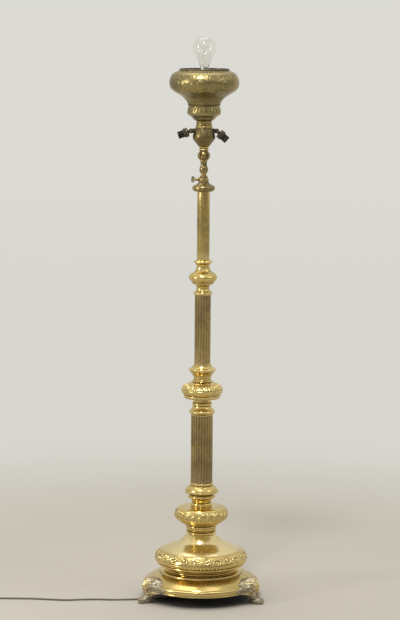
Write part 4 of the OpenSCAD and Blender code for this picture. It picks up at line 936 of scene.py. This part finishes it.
bellBand = {"low": 94.5, "high": 124.6, "cells": 12, "steps": 960, "depth": 0.9, "fine": (7.2, 38, 0.85)}
scrollLook = {"middle": 0.62, "sway": 0.17, "depth": 1.3, "from": 10.4,
              "eggs": 6, "eggAt": 4.6, "eggTall": 4.2, "eggDepth": 1.5}
bellShape = [(86, 0), (109, 0), (111, 0.4), *bead(111, 0.4, 6.4, 5),
             *curved([(114, 7.2), (119.2, 10.6), (121, 16), (118, 25), (110, 33.5), (103.8, 37.7)], 5),
             (102, 37.4), (107.6, 31.5), (114.8, 24), (117.4, 16), (115.6, 12), (110, 8), (108, 3), (86, 1.6)]
flareShape = [(102.4, 37.4), (103.6, 38), (103.7, 38.8), (102.8, 39.5), (101.6, 39.5), (100.9, 39.2),
              *curved([(99.8, 39.8), (88, 46), (71, 53), (58, 58.6), (48, 68), (40, 76), (36.6, 79.8)], 8),
              (36, 80.6), (34, 81), (strung, 81), (strung, 79.4), (33, 79.2), (45.6, 66.4), (56.6, 56.8),
              (70, 51.2)]


def runningScroll(u, v, wide, tall):
    # A wavy stem with a scroll, a flower and leaves in each cell, turned over in every other half
    middle, sway = scrollLook["middle"] * tall, scrollLook["sway"] * tall
    places = np.linspace(-0.75 * wide, 0.75 * wide, 19)
    stem = [(x, middle + sway * math.sin(fullTurn * x / wide)) for x in places]
    parts = [stroke(u, v, stem, (1.3, 1.3), 0.9)]
    for side in (-1, 1):
        centre = (side * wide / 4, middle - side * 0.08 * tall)
        parts.append(stroke(u, v, spiral(centre, 9.5, 4.6, side * 90, side * -0.8), (0.8, 1.5, 0.9), 1.1))
        parts.append(rosette(u, v, centre, 4.4, 6, 1.5))
        for angle, reach in ((20, 14), (65, 13), (115, 13), (160, 14)):
            a = math.radians(side * angle)
            root, tip = polar(centre, 8, a), polar(centre, reach, a + side * 0.35)
            bent = ((root[0] + tip[0]) / 2, (root[1] + tip[1]) / 2 + side * 0.8)
            parts.append(stroke(u, v, [root, bent, tip], (0.7, 2.2, 0.4), 1.1, vein=0.5, wrap=wide))
    egg = np.abs(np.cos(math.pi * u / wide * scrollLook["eggs"])) ** 0.6
    egg = egg * halfRound((v - scrollLook["eggAt"]) / scrollLook["eggTall"])
    lines = 0.7 * (thinLine(v, 9.8, 0.6) + thinLine(v, tall - 1.2, 0.7))
    ground = 0.12 * np.sin(2.6 * u) * np.sin(2.9 * v)
    scrolls = (joined(*parts) + ground) * within(v, scrollLook["from"], tall - 2.2)
    return scrollLook["depth"] * scrolls + scrollLook["eggDepth"] * egg + lines


embossedPiece("bellBand", "bell_shell", "bell", bellShape, bellBand, runningScroll, finish="embossed")
shellPiece("bellFlare", "bell_shell", "bell", flareShape, 0.3, 144, "flare")
print("bell modelled")


# Cushion knop, with slanting leaves round its widest part

cushionBand = {"low": 209.5, "high": 234.5, "cells": 22, "steps": 704, "depth": 0.8, "fine": (19, 45, 0.85)}
cushionShape = [(strung, 0), (38, 0), *curved([(40, 0.6), (48, 4.4), (58.6, 11.2)], 5), (59.4, 12.6),
                (60.6, 12.8), *curved([(61.6, 13.6), (67.2, 20.4), (69.2, 30), (67.4, 38), (63.6, 44.6)]),
                (62.4, 45.6), (61.8, 46.8), *curved([(60, 47.6), (54, 49), (46, 49.8)], 4), (40, 50),
                (strung, 50)]


def slantingLeaves(u, v, wide, tall):
    parts = []
    for shift in (-wide, 0, wide):
        spine = [(shift - 6, 2.5), (shift - 4.5, 9), (shift + 0.5, 17), (shift + 6.5, tall - 2.5)]
        parts.append(stroke(u, v, spine, (2.2, 4.2, 3.4, 0.8), 1.5, vein=0.55))
        for t in (0.3, 0.5, 0.7):
            x, y = shift - 5.5 + 11 * t, 2 + (tall - 4) * t
            parts.append(stroke(u, v, [(x, y), (x + 3.4, y + 1.2), (x + 5.4, y + 4)], (1.1, 1.4, 0.4), 1.05))
            parts.append(stroke(u, v, [(x, y), (x - 2.6, y + 2.4), (x - 3, y + 5.4)], (1.1, 1.3, 0.4), 1.05))
        parts.append(rosette(u, v, (shift + 5.6, 5.6), 2.4, 5, 1.0))
    lines = 0.6 * (thinLine(v, 0.9, 0.6) + thinLine(v, tall - 0.9, 0.6))
    return joined(*parts) * within(v, 1.4, tall - 1.4) + lines


embossedPiece("cushionKnop", "cushion_knop", "cushion", cushionShape, cushionBand, slantingLeaves,
              finish="embossed")


# Middle knop, leaves on its upper half

knopBand = {"low": 549.5, "high": 565.5, "cells": 16, "steps": 576, "depth": 0.7, "fine": (27, 44.5, 0.8)}
knopShape = [(strung, 0), (21, 0), *curved([(22.5, 0.3), (33.3, 2.6), (44.6, 4.8)], 5), (46.4, 5.6),
             (46.8, 7), *bead(47, 7.6, 13.4, 1.6), (47.2, 14),
             *curved([(48.6, 14.8), (53.2, 20.5), (54.2, 25.6)], 5), (53.9, 27.4), (53, 27.8),
             *curved([(52.8, 28.4), (51.2, 32), (45.6, 38.2), (35.3, 44.2)]), (34.4, 45.2), (33, 45.4),
             (26, 48.3), (strung, 49)]


def crownLeaves(u, v, wide, tall):
    parts = []
    lobes = ((((2, 4), (6, 6), (7.6, 11)), (1.4, 1.8, 0.5), 1.0),
             (((2, 9), (5.4, 12), (6, 16)), (1.2, 1.6, 0.4), 0.9))
    for shift in (-wide, 0, wide):
        spine = [(shift, 1.5), (shift, 10), (shift, tall - 3)]
        parts.append(stroke(u, v, spine, (4.4, 5.6, 1.2), 1.3, vein=0.5))
        parts += [stroke(u, v, sided(side, points, shift), half, high)
                  for side in (-1, 1) for points, half, high in lobes]
        bud = [(shift + wide / 2, 3), (shift + wide / 2, tall - 4)]
        parts.append(stroke(u, v, bud, (1.6, 1.0), 0.9, vein=0.4))
    rim = 0.55 * thinLine(v, 0.8, 0.55)
    return joined(*parts) * within(v, 1.2, tall - 0.6, 1.2, 1.4) + rim


embossedPiece("middleKnop", "middle_knop", "middleKnop", knopShape, knopBand, crownLeaves, finish="embossed")


# Lower collar with a milled lip

collarBand = {"low": 276.6, "high": 282.2, "cells": 84, "sectors": 12, "steps": 672, "depth": 0.5,
              "fine": (8.6, 14.2, 0.7)}
collarShape = [(34, 0), (34, 0.8), (32.4, 2.4), (32, 3.4), *curved([(33, 5), (39, 7.6), (42.6, 8.8)], 4),
               (43.6, 9.8), (44, 11.4), (43.7, 13.6), (43, 14.4), (42.2, 14.6),
               *curved([(42, 15.6), (39.4, 20.6), (33, 26.4)], 5), (31, 27.2), (29, 28), (29, 29), (30, 30),
               (30, 35), (strung, 35), (strung, 0)]


def milledLip(u, v, wide, tall):
    notch = 0.5 - 0.5 * np.cos(fullTurn * u / wide)
    return -0.55 * notch * np.sin(math.pi * np.clip(v / tall, 0, 1)) ** 0.5


embossedPiece("lowerCollar", "lower_collar", "lowerCollar", collarShape, collarBand, milledLip)


# Reeded tubes

reedLook = {"columns": 12, "wall": 3, "deep": 1.6, "end": 1.2}


def reededTube(name, node, foot, radius, length, reeds):
    columns, inside, end = reedLook["columns"], radius - reedLook["wall"], reedLook["end"]
    outside = [(radius, z) for z in (0, end, length / 3, 2 * length / 3, length - end, length)]
    line = np.array([*outside, (inside, length), (inside, 0)], dtype=float)
    line[:, 1] += heights[foot]
    rib = reedLook["deep"] * (halfRound(2 * np.arange(columns) / columns - 1) - 1)
    ribs = np.zeros((len(line), reeds * columns))
    ribs[:len(outside)] = np.tile(rib, reeds)
    tube = turn(name, line, reeds * columns, reeds)
    emboss(tube, line, ribs, 0.8)
    finishPiece(tube, "column", "reeded_brass", node)


reededTube("lowerReededTube", "lower_reeded_tube", "lowerTube", 28.5, 179, 24)
reededTube("upperReededTube", "upper_reeded_tube", "upperTube", 21, 179, 18)
print("column modelled")


# Cup: cartouches between scrolls on the belly, leaves below, ridges up to the mouth

standBand = {"low": 1266, "high": 1284.4, "cells": 26, "steps": 416, "depth": 0.6, "fine": (19.5, 38.6, 0.8)}
standShape = [(5.2, 0), (19, 0), (19.6, 0.5), *curved([(21, 1), (27, 5), (30, 8.6)], 4), (31.4, 9.4),
              (31.6, 10.6), *curved([(33, 11.6), (36.6, 13.8), (39.4, 16)], 3), (41.4, 16.8), (42.5, 18.5),
              (43, 19.6), *curved([(43.4, 21), (43.4, 24), (42.4, 28), (41.2, 33), (40.4, 37)], 4),
              (39.6, 38.5), (38, 39), (5.2, 39)]


def standBeads(u, v, wide, tall):
    # Bright pearls side by side on the bead of the stand
    up = v - tall / 2 - 0.8
    return 0.8 * halfRound(np.hypot(u / (0.47 * wide), up / 7)) - 0.3 * np.exp(-(up / 8) ** 4)


embossedPiece("cupStand", "cup_stand", "stand", standShape, standBand, standBeads, "head", "cup_brass")

cupBand = {"low": 1288, "high": 1374.5, "cells": 8, "steps": 640, "depth": 0.9, "fine": (2, 90, 1.15),
           "turned": 15.7, "soft": 2, "strength": 0.5}
# Painted light on the cup: a painted highlight on the shoulder, painted shade on the waist and at the foot
cupPaintedLight = {"shoulder": 0.14, "waist": 0.1, "foot": 0.3, "belly": 66}  # bright shoulder, dull waist and foot
cupShape = [(5.2, 0), (40, 0), (41, 0.6),
            *curved([(41.3, 1.5), (43.6, 10), (50, 18), (57.5, 25), (70.5, 33), (80.5, 39.5), (86.8, 48),
                     (89.2, 60), (87.6, 70), (83.4, 79), (77.6, 84.8), (68.6, 88.6)], 5),
            (66.4, 89.4), (65.4, 90.4), (64, 91), (62.6, 90.6), (66.6, 87.6), (76.6, 83.4), (81.9, 78),
            (86.2, 69), (87.8, 60), (85.4, 48.6), (79.4, 41), (69.6, 34.6), (56.6, 26.4), (48.6, 19),
            (42.4, 10.6), (40, 2), (5.2, 1.4)]


def cupScrolls(u, v, wide, tall):
    parts = []
    eye = (0, 73)
    ring = [(eye[0] + 8 * math.cos(a), eye[1] + 9.5 * math.sin(a)) for a in np.linspace(0, fullTurn, 17)]
    parts.append(stroke(u, v, ring, (1.9, 1.9), 1.7))
    parts.append(rosette(u, v, eye, 5.0, 5, 1.9))
    for side in (-1, 1):
        # C-scrolls that clasp the cartouche, and smaller ones that meet over it
        clasp = sided(side, [(3, 58), (13, 55.5), (21, 62), (22.5, 72)])
        parts.append(stroke(u, v, clasp, (0.9, 2.2, 2.4, 1.9), 1.8, vein=0.25))
        curl = spiral((side * 17.5, 72.5), 5.2, 1.4, 0 if side > 0 else 180, side * 1.1)
        parts.append(stroke(u, v, curl, (1.9, 1.2), 1.6))
        arch = sided(side, [(2, 87), (9, 90), (17, 86), (20, 80)])
        parts.append(stroke(u, v, arch, (0.8, 1.9, 1.8, 1.2), 1.4, vein=0.25))
        parts.append(stroke(u, v, spiral((side * 6.5, 93.6), 3.8, 1.2, -90, side * -1.0), (1.3, 0.9), 1.1))
        # Leaves that spring from the scrolls over the shoulder and down the belly
        for root, bend, tip, half in (
                ((21, 82), (25, 90), (27, 98), 2.2), ((21, 82), (28, 85), (33, 90), 2.2),
                ((21, 82), (19, 95), (19, 103), 2.2), ((22, 60), (26, 53), (28, 46), 2.1),
                ((22, 60), (18, 49), (20, 40), 2.1), ((22, 60), (29, 59), (33, 55), 2.1)):
            parts.append(stroke(u, v, sided(side, [root, bend, tip]), (0.9, half, 0.5), 1.2, vein=0.5))
        # Veins of the drop leaf under the cartouche
        for k in range(4):
            y = 52 - 8 * k
            vein = sided(side, [(0, y), (6 - k, y - 1), (9.5 - 1.6 * k, y - 6)])
            parts.append(stroke(u, v, vein, (1.3, 1.9, 0.5), 1.15, vein=0.3))
    parts.append(stroke(u, v, [(0, 56), (0, 40), (0, 20)], (2.4, 2.0, 0.6), 1.3, vein=0.3))
    for side in (-1, 1):
        edge = side * wide / 2
        # Shell between two cartouches, and the tall leaf that rises to it from the stand
        for k in range(-3, 4):
            a = math.radians(90 + 21 * k)
            rib = [polar((edge, 79), 2.4, a), polar((edge, 79), 12, a)]
            parts.append(stroke(u, v, rib, (0.9, 2.1), 1.35))
        parts.append(rosette(u, v, (edge, 77), 3.0, 8, 1.3))
        parts.append(stroke(u, v, [(edge, 10), (edge, 34), (edge, 62)], (3.4, 4.6, 0.8), 1.2, vein=0.6))
        for k in range(5):
            y = 18 + 8.4 * k
            lobe = sided(-side, [(0, y), (6.5, y + 3), (8.5, y + 9)], edge)
            parts.append(stroke(u, v, lobe, (1.4, 2.2, 0.5), 1.1, vein=0.35))
    ridges = 0.34 * (0.5 + 0.5 * np.cos(fullTurn * u / wide * 9)) * np.clip((v - 98) / 6, 0, 1)
    flutes = 0.4 * (0.5 + 0.5 * np.cos(fullTurn * u / wide * 5)) * np.clip((26 - v) / 8, 0, 1)
    ground = 0.14 * np.sin(1.9 * u + 0.7 * np.sin(v)) * np.sin(2.1 * v)
    return (joined(*parts, ridges, flutes) + ground) * within(v, 0, tall - 1, 3)


cup = embossedPiece("cupBowl", "cup_bowl", "cup", cupShape, cupBand, cupScrolls, "head", "cup_brass")
# Painted light, added to the cup's wear values: a painted highlight on the shoulder, painted shade on the
# waist and at the foot
upTo = readSpots(cup.data)[:, 2] / mm - heights["cup"]
wearAndLight = cupPaintedLight["shoulder"] * np.clip((upTo - cupPaintedLight["belly"]) / 10, 0, 1)
wearAndLight -= cupPaintedLight["waist"] * np.clip((cupPaintedLight["belly"] - upTo) / 8, 0, 1)
wearAndLight -= cupPaintedLight["foot"] * np.clip(3 - upTo / 2, 0, 1)
writeNumbers(cup.data, "wear", np.clip(readNumbers(cup.data, "wear") + wearAndLight, -1, 1))
print("cup modelled with", len(cup.data.polygons), "faces")


# Parts of the head

def placed(piece, degrees, place, axis="Y"):
    # Lays a piece that was turned upright over about an axis, then moves it, in millimetres
    move = Matrix.Translation(Vector(place) * mm) @ Matrix.Rotation(math.radians(degrees), 4, axis)
    piece.data.transform(move)
    piece.data.update()
    return piece


def block(name, sides, place, soft=0.6):
    # Bevelled block, its sides and middle in millimetres
    startFresh()
    bpy.ops.mesh.primitive_cube_add(size=1)
    piece = bpy.context.object
    piece.name = piece.data.name = name
    size = Matrix.Diagonal((*(v * mm for v in sides), 1))
    piece.data.transform(Matrix.Translation(Vector(place) * mm) @ size)
    if soft:
        bevel = piece.modifiers.new("edges", "BEVEL")
        bevel.width, bevel.segments, bevel.limit_method = soft * mm, 3, "NONE"
        bpy.ops.object.modifier_apply(modifier="edges")
    bpy.ops.object.shade_smooth_by_angle(angle=math.radians(50))
    return piece


def together(*pieces):
    startFresh()
    for piece in pieces:
        piece.select_set(True)
    bpy.context.view_layer.objects.active = pieces[0]
    bpy.ops.object.join()
    return pieces[0]


def cutAway(piece, cutters):
    for cutter in cutters:
        startFresh()
        piece.select_set(True)
        bpy.context.view_layer.objects.active = piece
        cut = piece.modifiers.new("cut", "BOOLEAN")
        cut.object, cut.operation, cut.solver = cutter, "DIFFERENCE", "EXACT"
        bpy.ops.object.modifier_apply(modifier="cut")
        bpy.data.objects.remove(cutter)
    return piece


# Clamp collar and thumbscrew

clampLook = {"bore": 7.4, "bossAt": 1096.5, "bossRadius": 5.2, "bossReach": 17}
clampShape = [(19.6, 0), (20, 0.4), *bead(22, 0.8, 17, 7.4, 14), (20, 17.4), (20, 18.2),
              *curved([(18.5, 19), (15.5, 21.5), (13, 24)], 5), (12.6, 24.6), (13, 25.2), (13, 33.5),
              (12.4, 34.4), (10.5, 35.5), (10, 36.6), (10, 39.6), (10.6, 40.2), (10.2, 41)]
clamp = turn("clampCollar", sectionOf(clampShape, clampLook["bore"], heights["clamp"]))
boss = turn("clampBoss", sectionOf([(4.6, 0), (clampLook["bossRadius"], 0.6), (5, 2), (4.8, 8)], 2.6), 32)
placed(boss, 90, (-clampLook["bossReach"], 0, clampLook["bossAt"]))
finishPiece(together(clamp, boss), "column", "plain_brass", "clamp_collar", finish="head")

thumbLook = {"from": -20.6, "reach": 12.2, "tall": 18, "thick": 3.0, "corner": 5.9, "hub": 2.4,
             "dish": ((0.5, 0), (0.9, 0.45), (1.3, 0.1)), "edge": 0.45}
thumbShank = [(0.05, 0), (2.4, 0), (2.5, 0.4), (2.5, 7), (4.1, 7), (4.4, 7.6), (4.2, 9.2), (3.4, 10),
              (3.2, 12.4), (0.05, 12.4)]


def thumbPlate():
    # Flat thumb piece with rounded corners, hollowed on both faces
    half, r = thumbLook["tall"] / 2, thumbLook["corner"]
    outline = [(0, thumbLook["hub"]), (-1.6, thumbLook["hub"] + 0.6)]
    for middle, first in ((half - r, 75), (r - half, 180)):
        for k in range(10):
            a = math.radians(first + 105 * k / 9)
            outline.append((-thumbLook["reach"] + r + r * math.cos(a), middle + r * math.sin(a)))
    outline += [(-1.6, -thumbLook["hub"] - 0.6), (0, -thumbLook["hub"])]
    startFresh()
    bpy.ops.mesh.primitive_circle_add(vertices=len(outline), radius=mm, fill_type="NGON")
    plate = bpy.context.object
    plate.name = plate.data.name = "thumbscrew"
    spots = [(thumbLook["from"] + x, -thumbLook["thick"] / 2, clampLook["bossAt"] + z) for x, z in outline]
    writeSpots(plate.data, np.array(spots) * mm)
    bpy.ops.object.mode_set(mode="EDIT")
    bpy.ops.mesh.select_all(action="SELECT")
    bpy.ops.mesh.extrude_region_move(TRANSFORM_OT_translate={"value": (0, thumbLook["thick"] * mm, 0)})
    bpy.ops.mesh.select_all(action="SELECT")
    bpy.ops.mesh.normals_make_consistent(inside=False)
    bpy.ops.mesh.select_all(action="DESELECT")
    bpy.ops.object.mode_set(mode="OBJECT")
    for face in plate.data.polygons:
        face.select = abs(face.normal.y) > 0.9
    bpy.ops.object.mode_set(mode="EDIT")
    for inwards, deeper in thumbLook["dish"]:
        bpy.ops.mesh.inset(thickness=inwards * mm, depth=-deeper * mm)
    bpy.ops.object.mode_set(mode="OBJECT")
    soften = plate.modifiers.new("edges", "BEVEL")
    soften.width, soften.segments, soften.angle_limit = thumbLook["edge"] * mm, 3, math.radians(35)
    bpy.ops.object.modifier_apply(modifier="edges")
    bpy.ops.object.shade_smooth_by_angle(angle=math.radians(50))
    return plate


shank = placed(turn("thumbShank", eased(thumbShank, 0.3), 32), -90, (-10.9, 0, clampLook["bossAt"]))
finishPiece(together(thumbPlate(), shank), "thumbscrew", "thumb_brass", "thumbscrew")


# Stem, pierced knop, urn and its screw

stemShape = [(9, 0), (9.3, 0.8),
             *curved([(10.2, 2), (11.4, 7.5), (10.6, 13.5), (8.8, 18), (8.1, 24), (8.4, 28)], 5),
             (9.1, 29.4), (9.6, 30.2), (9.6, 32), (9.2, 33)]
stem = turn("stemKnop", sectionOf(stemShape, 3.4, heights["stem"]), 64)
post = turn("headPost", sectionOf([(5, 0), (5, 20), (5, 40)], 3.4, heights["cage"] - 1), 32)
finishPiece(together(stem, post), "head", "plain_brass", "stem_knop", finish="head")

cageLook = {"slots": 6, "slotWide": 6.8, "slotTall": 17, "slotFrom": 3.6, "slotDeep": 16, "slotAt": 15.4}
cageShape = [(9, 0), (9.4, 0.4), (10.4, 1),
             *curved([(12, 2), (15, 5.8), (16.5, 11.5), (15.2, 17.4), (12, 22)], 5),
             (10.6, 23.4), (10, 24.4), *bead(10.6, 25, 30, 2), (10.6, 30.4), (11.6, 31), (12.3, 34)]
cage = turn("cageKnop", sectionOf(cageShape, 5.15, heights["cage"]))
slotMiddle = heights["cage"] + cageLook["slotFrom"] + cageLook["slotTall"] / 2
slots = []
for k in range(cageLook["slots"]):
    sides = (cageLook["slotDeep"], cageLook["slotWide"], cageLook["slotTall"])
    slot = block("slot", sides, (cageLook["slotAt"], 0, slotMiddle), 2.6)
    slots.append(placed(slot, 360 * k / cageLook["slots"], (0, 0, 0), "Z"))
finishPiece(cutAway(cage, slots), "head", "plain_brass", "cage_knop", finish="head")

urnShape = [
    (5.15, 0), (12.4, 0),
    *curved([(13.6, 1.5), (17, 5), (21.4, 11), (27.2, 18), (29, 24), (28.4, 30), (26.2, 38), (23.6, 45)]),
    (22.2, 47.6), (21.6, 48.4), (21.6, 50.4), (21, 51), (19, 51), (19, 46),
    *curved([(21, 44.6), (24, 37.4), (26.4, 30), (27, 24), (25.4, 19), (18.6, 12.4), (13.6, 6),
             (11.4, 3)], 3),
    (5.15, 2),
]
shellPiece("urnBody", "urn_body", "urn", urnShape, 0.4, 96, "urn", "head", "plain_brass")

screwLook = {"height": 1226.5, "from": -18.4, "slot": (6, 1.6, 0.7), "slotAt": -25.1}
screwShape = [(0.05, 0), (1.5, 0), (1.5, 5), (2.7, 5), (2.8, 5.4), (2.5, 6.2), (1.4, 6.8), (0.05, 6.95)]
screw = turn("urnScrew", eased(screwShape, 0.2), 32)
placed(screw, 90, (0, screwLook["from"], screwLook["height"]), "X")
slot = block("slotCut", screwLook["slot"], (0, screwLook["slotAt"], screwLook["height"]), 0)
finishPiece(cutAway(screw, [slot]), "head", "dark_bronze", "urn_screw")


# Branch arms and the two tilting lamp holders

armLook = {"pivotX": 33, "pivotZ": 1221, "rootX": 21, "webAt": 26.2, "webThick": 1.6, "earRadius": 6.2,
           "earThick": 2.6, "earAt": 3.8, "cheekTall": 8.8, "tongue": 4.6, "tongueTall": 8.4, "tongueLong": 9,
           "pinRadius": 1.5, "pinLong": 10.4, "pinHead": 0.8, "pinHeadAt": 5.3}
holderLook = {"length": 35.6, "bore": 7.75, "barrel": 9.6, "threadFrom": 21, "halfTurns": 23,
              "halfPitch": 0.56, "threadDeep": 0.25, "slot": (4, 2.6, 7.4), "slotFrom": 3.4,
              "ringFrom": 14.3, "ringRadius": 12.3, "ringLong": 6, "knurls": 40, "left": 20, "right": 42}


def knuckle(side, front=0.0):
    return side * armLook["pivotX"], front, armLook["pivotZ"]


def disc(name, radius, thick, place, steps=48):
    # Round plate that faces the front, with softened edges
    line = eased([(0.05, -thick / 2), (radius, -thick / 2), (radius, thick / 2), (0.05, thick / 2)], 0.5)
    return placed(turn(name, line, steps), 90, place, "X")


def makeArm(name, side):
    thick, tall, z = armLook["earThick"], armLook["cheekTall"], armLook["pivotZ"]
    root = sectionOf([(6.4, 0), (6.4, 4.2), (7, 4.8), (7, 6), (6.4, 6.6), (6, 7.2)], 1.8)
    parts = [placed(turn(name, root, 40), 90 * side, (side * armLook["rootX"], 0, z))]
    web = (armLook["webThick"], (armLook["earAt"] + thick / 2) * 2, tall)
    parts.append(block("web", web, (side * armLook["webAt"], 0, z)))
    wide = armLook["earRadius"] + 1
    for y in (-armLook["earAt"], armLook["earAt"]):
        parts.append(disc("ear", armLook["earRadius"], thick, knuckle(side, y)))
        parts.append(block("cheek", (wide, thick, tall), (side * (armLook["pivotX"] - wide / 2), y, z)))
    return together(*parts)


def makePins():
    pins = []
    for side in (-1, 1):
        for front in (-1, 1):
            place = knuckle(side, front * armLook["pinHeadAt"])
            pins.append(disc("pin", armLook["pinRadius"] + 1, armLook["pinHead"], place, 24))
        pins.append(disc("pin", armLook["pinRadius"], armLook["pinLong"], knuckle(side), 24))
    return together(*pins)


def makeHolder(name, side, tilt):
    length, bore, out = holderLook["length"], holderLook["bore"], holderLook["barrel"]
    thread = [(out - 0.2 + holderLook["threadDeep"] * math.cos(math.pi * k),
               holderLook["threadFrom"] + k * holderLook["halfPitch"])
              for k in np.arange(0, holderLook["halfTurns"], 0.5)]
    shape = [(1.4, 7), (5.4, 7), *curved([(6.4, 7.4), (9.4, 8), (12, 9.2)], 4), (12.4, 9.8), (12.4, 12.4),
             (11.6, 13.2), (out, 13.8), (out, 20.4), *thread, (out, length - 0.6), (out - 0.6, length),
             (bore + 0.3, length), (bore, length - 0.5), (bore, length - 15), (bore - 0.7, length - 15),
             (bore - 0.7, 12), (1.4, 12)]
    barrel = turn(name, eased(shape, 0.2), 64)
    slotAt = length - holderLook["slotFrom"]
    cutAway(barrel, [block("slotCut", holderLook["slot"], (way * bore, 0, slotAt), 0) for way in (-1, 1)])
    placed(barrel, side * (90 + tilt), knuckle(side))
    long = armLook["tongueLong"]
    neck = block("neck", (long, armLook["tongue"], armLook["tongueTall"]), (long / 2, 0, 0), 0.8)
    placed(neck, tilt if side > 0 else 180 - tilt, knuckle(side))
    eye = disc("eye", armLook["earRadius"] - 0.4, armLook["tongue"], knuckle(side))
    return together(barrel, neck, eye)


def makeRing(name, side, tilt):
    radius, long, low = holderLook["ringRadius"], holderLook["ringLong"], holderLook["ringFrom"]
    shape = [(9.7, 0), (radius - 1.6, 0), (radius - 0.6, 0.4), (radius, 1), (radius, long - 2.2),
             (radius - 0.5, long - 1.6), (radius - 1.2, long - 1.2), (radius - 1.5, long - 0.4),
             (radius - 2, long), (9.7, long)]
    line = refined(eased(shape, 0.25), 0.6, long - 1.8, 0.5)
    line[:, 1] += low
    knurl = {"low": low + 1, "high": low + long - 2.2, "cells": holderLook["knurls"],
             "steps": 6 * holderLook["knurls"], "depth": 0.4}
    ring = turn(name, line, knurl["steps"], knurl["cells"])
    ornament(ring, line, knurl, milledLip)
    return placed(ring, side * (90 + tilt), knuckle(side))


for word, side in (("left", -1), ("right", 1)):
    body, tilt = word + "_lampholder", holderLook[word]
    finishPiece(makeArm(word + "Arm", side), "head", "dark_bronze", "branch_arms")
    finishPiece(makeHolder(word + "Holder", side, tilt), body, "dark_bronze", word + "_holder")
    finishPiece(makeRing(word + "ShadeRing", side, tilt), body, "dark_bronze", word + "_shade_ring")
pins = makePins()
pins.name = "knucklePins"
finishPiece(pins, "head", "steel", "knuckle_pins", finish="dark_bronze")
print("arms and lamp holders modelled")


# Bulb: thin glass, its stem, and the wires in it

bulbLook = {"foot": 1380, "neck": 9.8, "radius": 30, "middle": 53, "wall": 0.8, "stemWall": 0.5,
            "wire": 0.16}
neck, glassWall = bulbLook["neck"], bulbLook["wall"]
globe = [polar((0, bulbLook["middle"]), bulbLook["radius"], math.radians(a)) for a in range(-28, 90, 4)]
glassLine = np.array([
    (neck, 0), (neck, 3), *curved([(10.2, 5), (12.5, 9), (15.5, 17), (20, 26.5), (24.6, 35.8)], 5)[:-1],
    *globe, (0, bulbLook["middle"] + bulbLook["radius"])])
glassInside = glassLine - outward(glassLine) * glassWall
glassInside[0], glassInside[-1] = (neck - glassWall, 0), (0, glassLine[-1][1] - glassWall)
glassLine = np.r_[glassLine, glassInside[::-1]]
stemLine = np.array([(8.4, 0.6), *curved([(8.2, 2), (5.6, 8), (3.4, 16), (3.0, 22), (4.6, 27), (4.9, 30),
                                          (3.4, 33.6), (3.5, 37.6), (2.3, 41), (1.7, 45)], 5)])
stemInside = stemLine - outward(stemLine) * bulbLook["stemWall"]
stemInside[0], stemInside[-1] = (7.9, 0.6), (0.02, 44.8)
stemLine = np.r_[stemLine, [(0.02, 45.4)], stemInside[::-1]]
for name, node, line, steps in (("bulbGlass", "bulb_glass", glassLine, 96),
                                ("bulbStem", "bulb_stem", stemLine, 48)):
    blown = turn(name, line + (0, bulbLook["foot"]), steps)
    bpy.ops.object.shade_smooth()
    finishPiece(blown, "bulb", "clear_glass", node)


def wireAlong(name, points, radius):
    # Thin round wire along a smooth curve, made a mesh; heights run from the foot of the glass
    startFresh()
    wire = tubeAlong(name, [spot + (0, 0, bulbLook["foot"]) for spot in curved(points, 4)], radius, 2)
    wire.select_set(True)
    bpy.context.view_layer.objects.active = wire
    bpy.ops.object.convert(target="MESH")
    return bpy.context.object


filamentLook = {"points": 120, "reach": 11, "height": 57.4, "bow": 2.2, "sag": 2.6, "coil": 0.3, "turns": 20}
wires = []
for side in (-1, 1):
    lead = [(1.2, 32), (1.3, 46), (4, 51), (10.4, 56), (11, 57.6)]
    wires.append(wireAlong("lead", [(side * x, 0, z) for x, z in lead], bulbLook["wire"]))
    support = [(side * 0.5, 0.3, 46), (side * 2.4, 1.4, 51), (side * 3.8, 2.0, 54.6)]
    wires.append(wireAlong("support", support, bulbLook["wire"] * 0.8))
hung = []
for k in range(filamentLook["points"] + 1):
    t = k / filamentLook["points"]
    hang, winding = math.sin(math.pi * t), fullTurn * filamentLook["turns"] * t
    y = filamentLook["bow"] * hang + filamentLook["coil"] * math.cos(winding)
    z = filamentLook["height"] - filamentLook["sag"] * hang + filamentLook["coil"] * math.sin(winding)
    hung.append((filamentLook["reach"] * (2 * t - 1), y, z))
wires.append(wireAlong("coiledWire", hung, bulbLook["wire"] * 0.6))
filament = together(*wires)
filament.name = "filament"
finishPiece(filament, "bulb", "filament_wire", "bulb_filament")
print("bulb modelled")


# Carried-over nodes take the finish of their slot

slotOf = {part["node"]: part["material_slot"] for part in frame["record"]["subparts"]}
for name, node in nodes.items():
    node.data.materials.clear()
    node.data.materials.append(finishes[slotOf[name]])
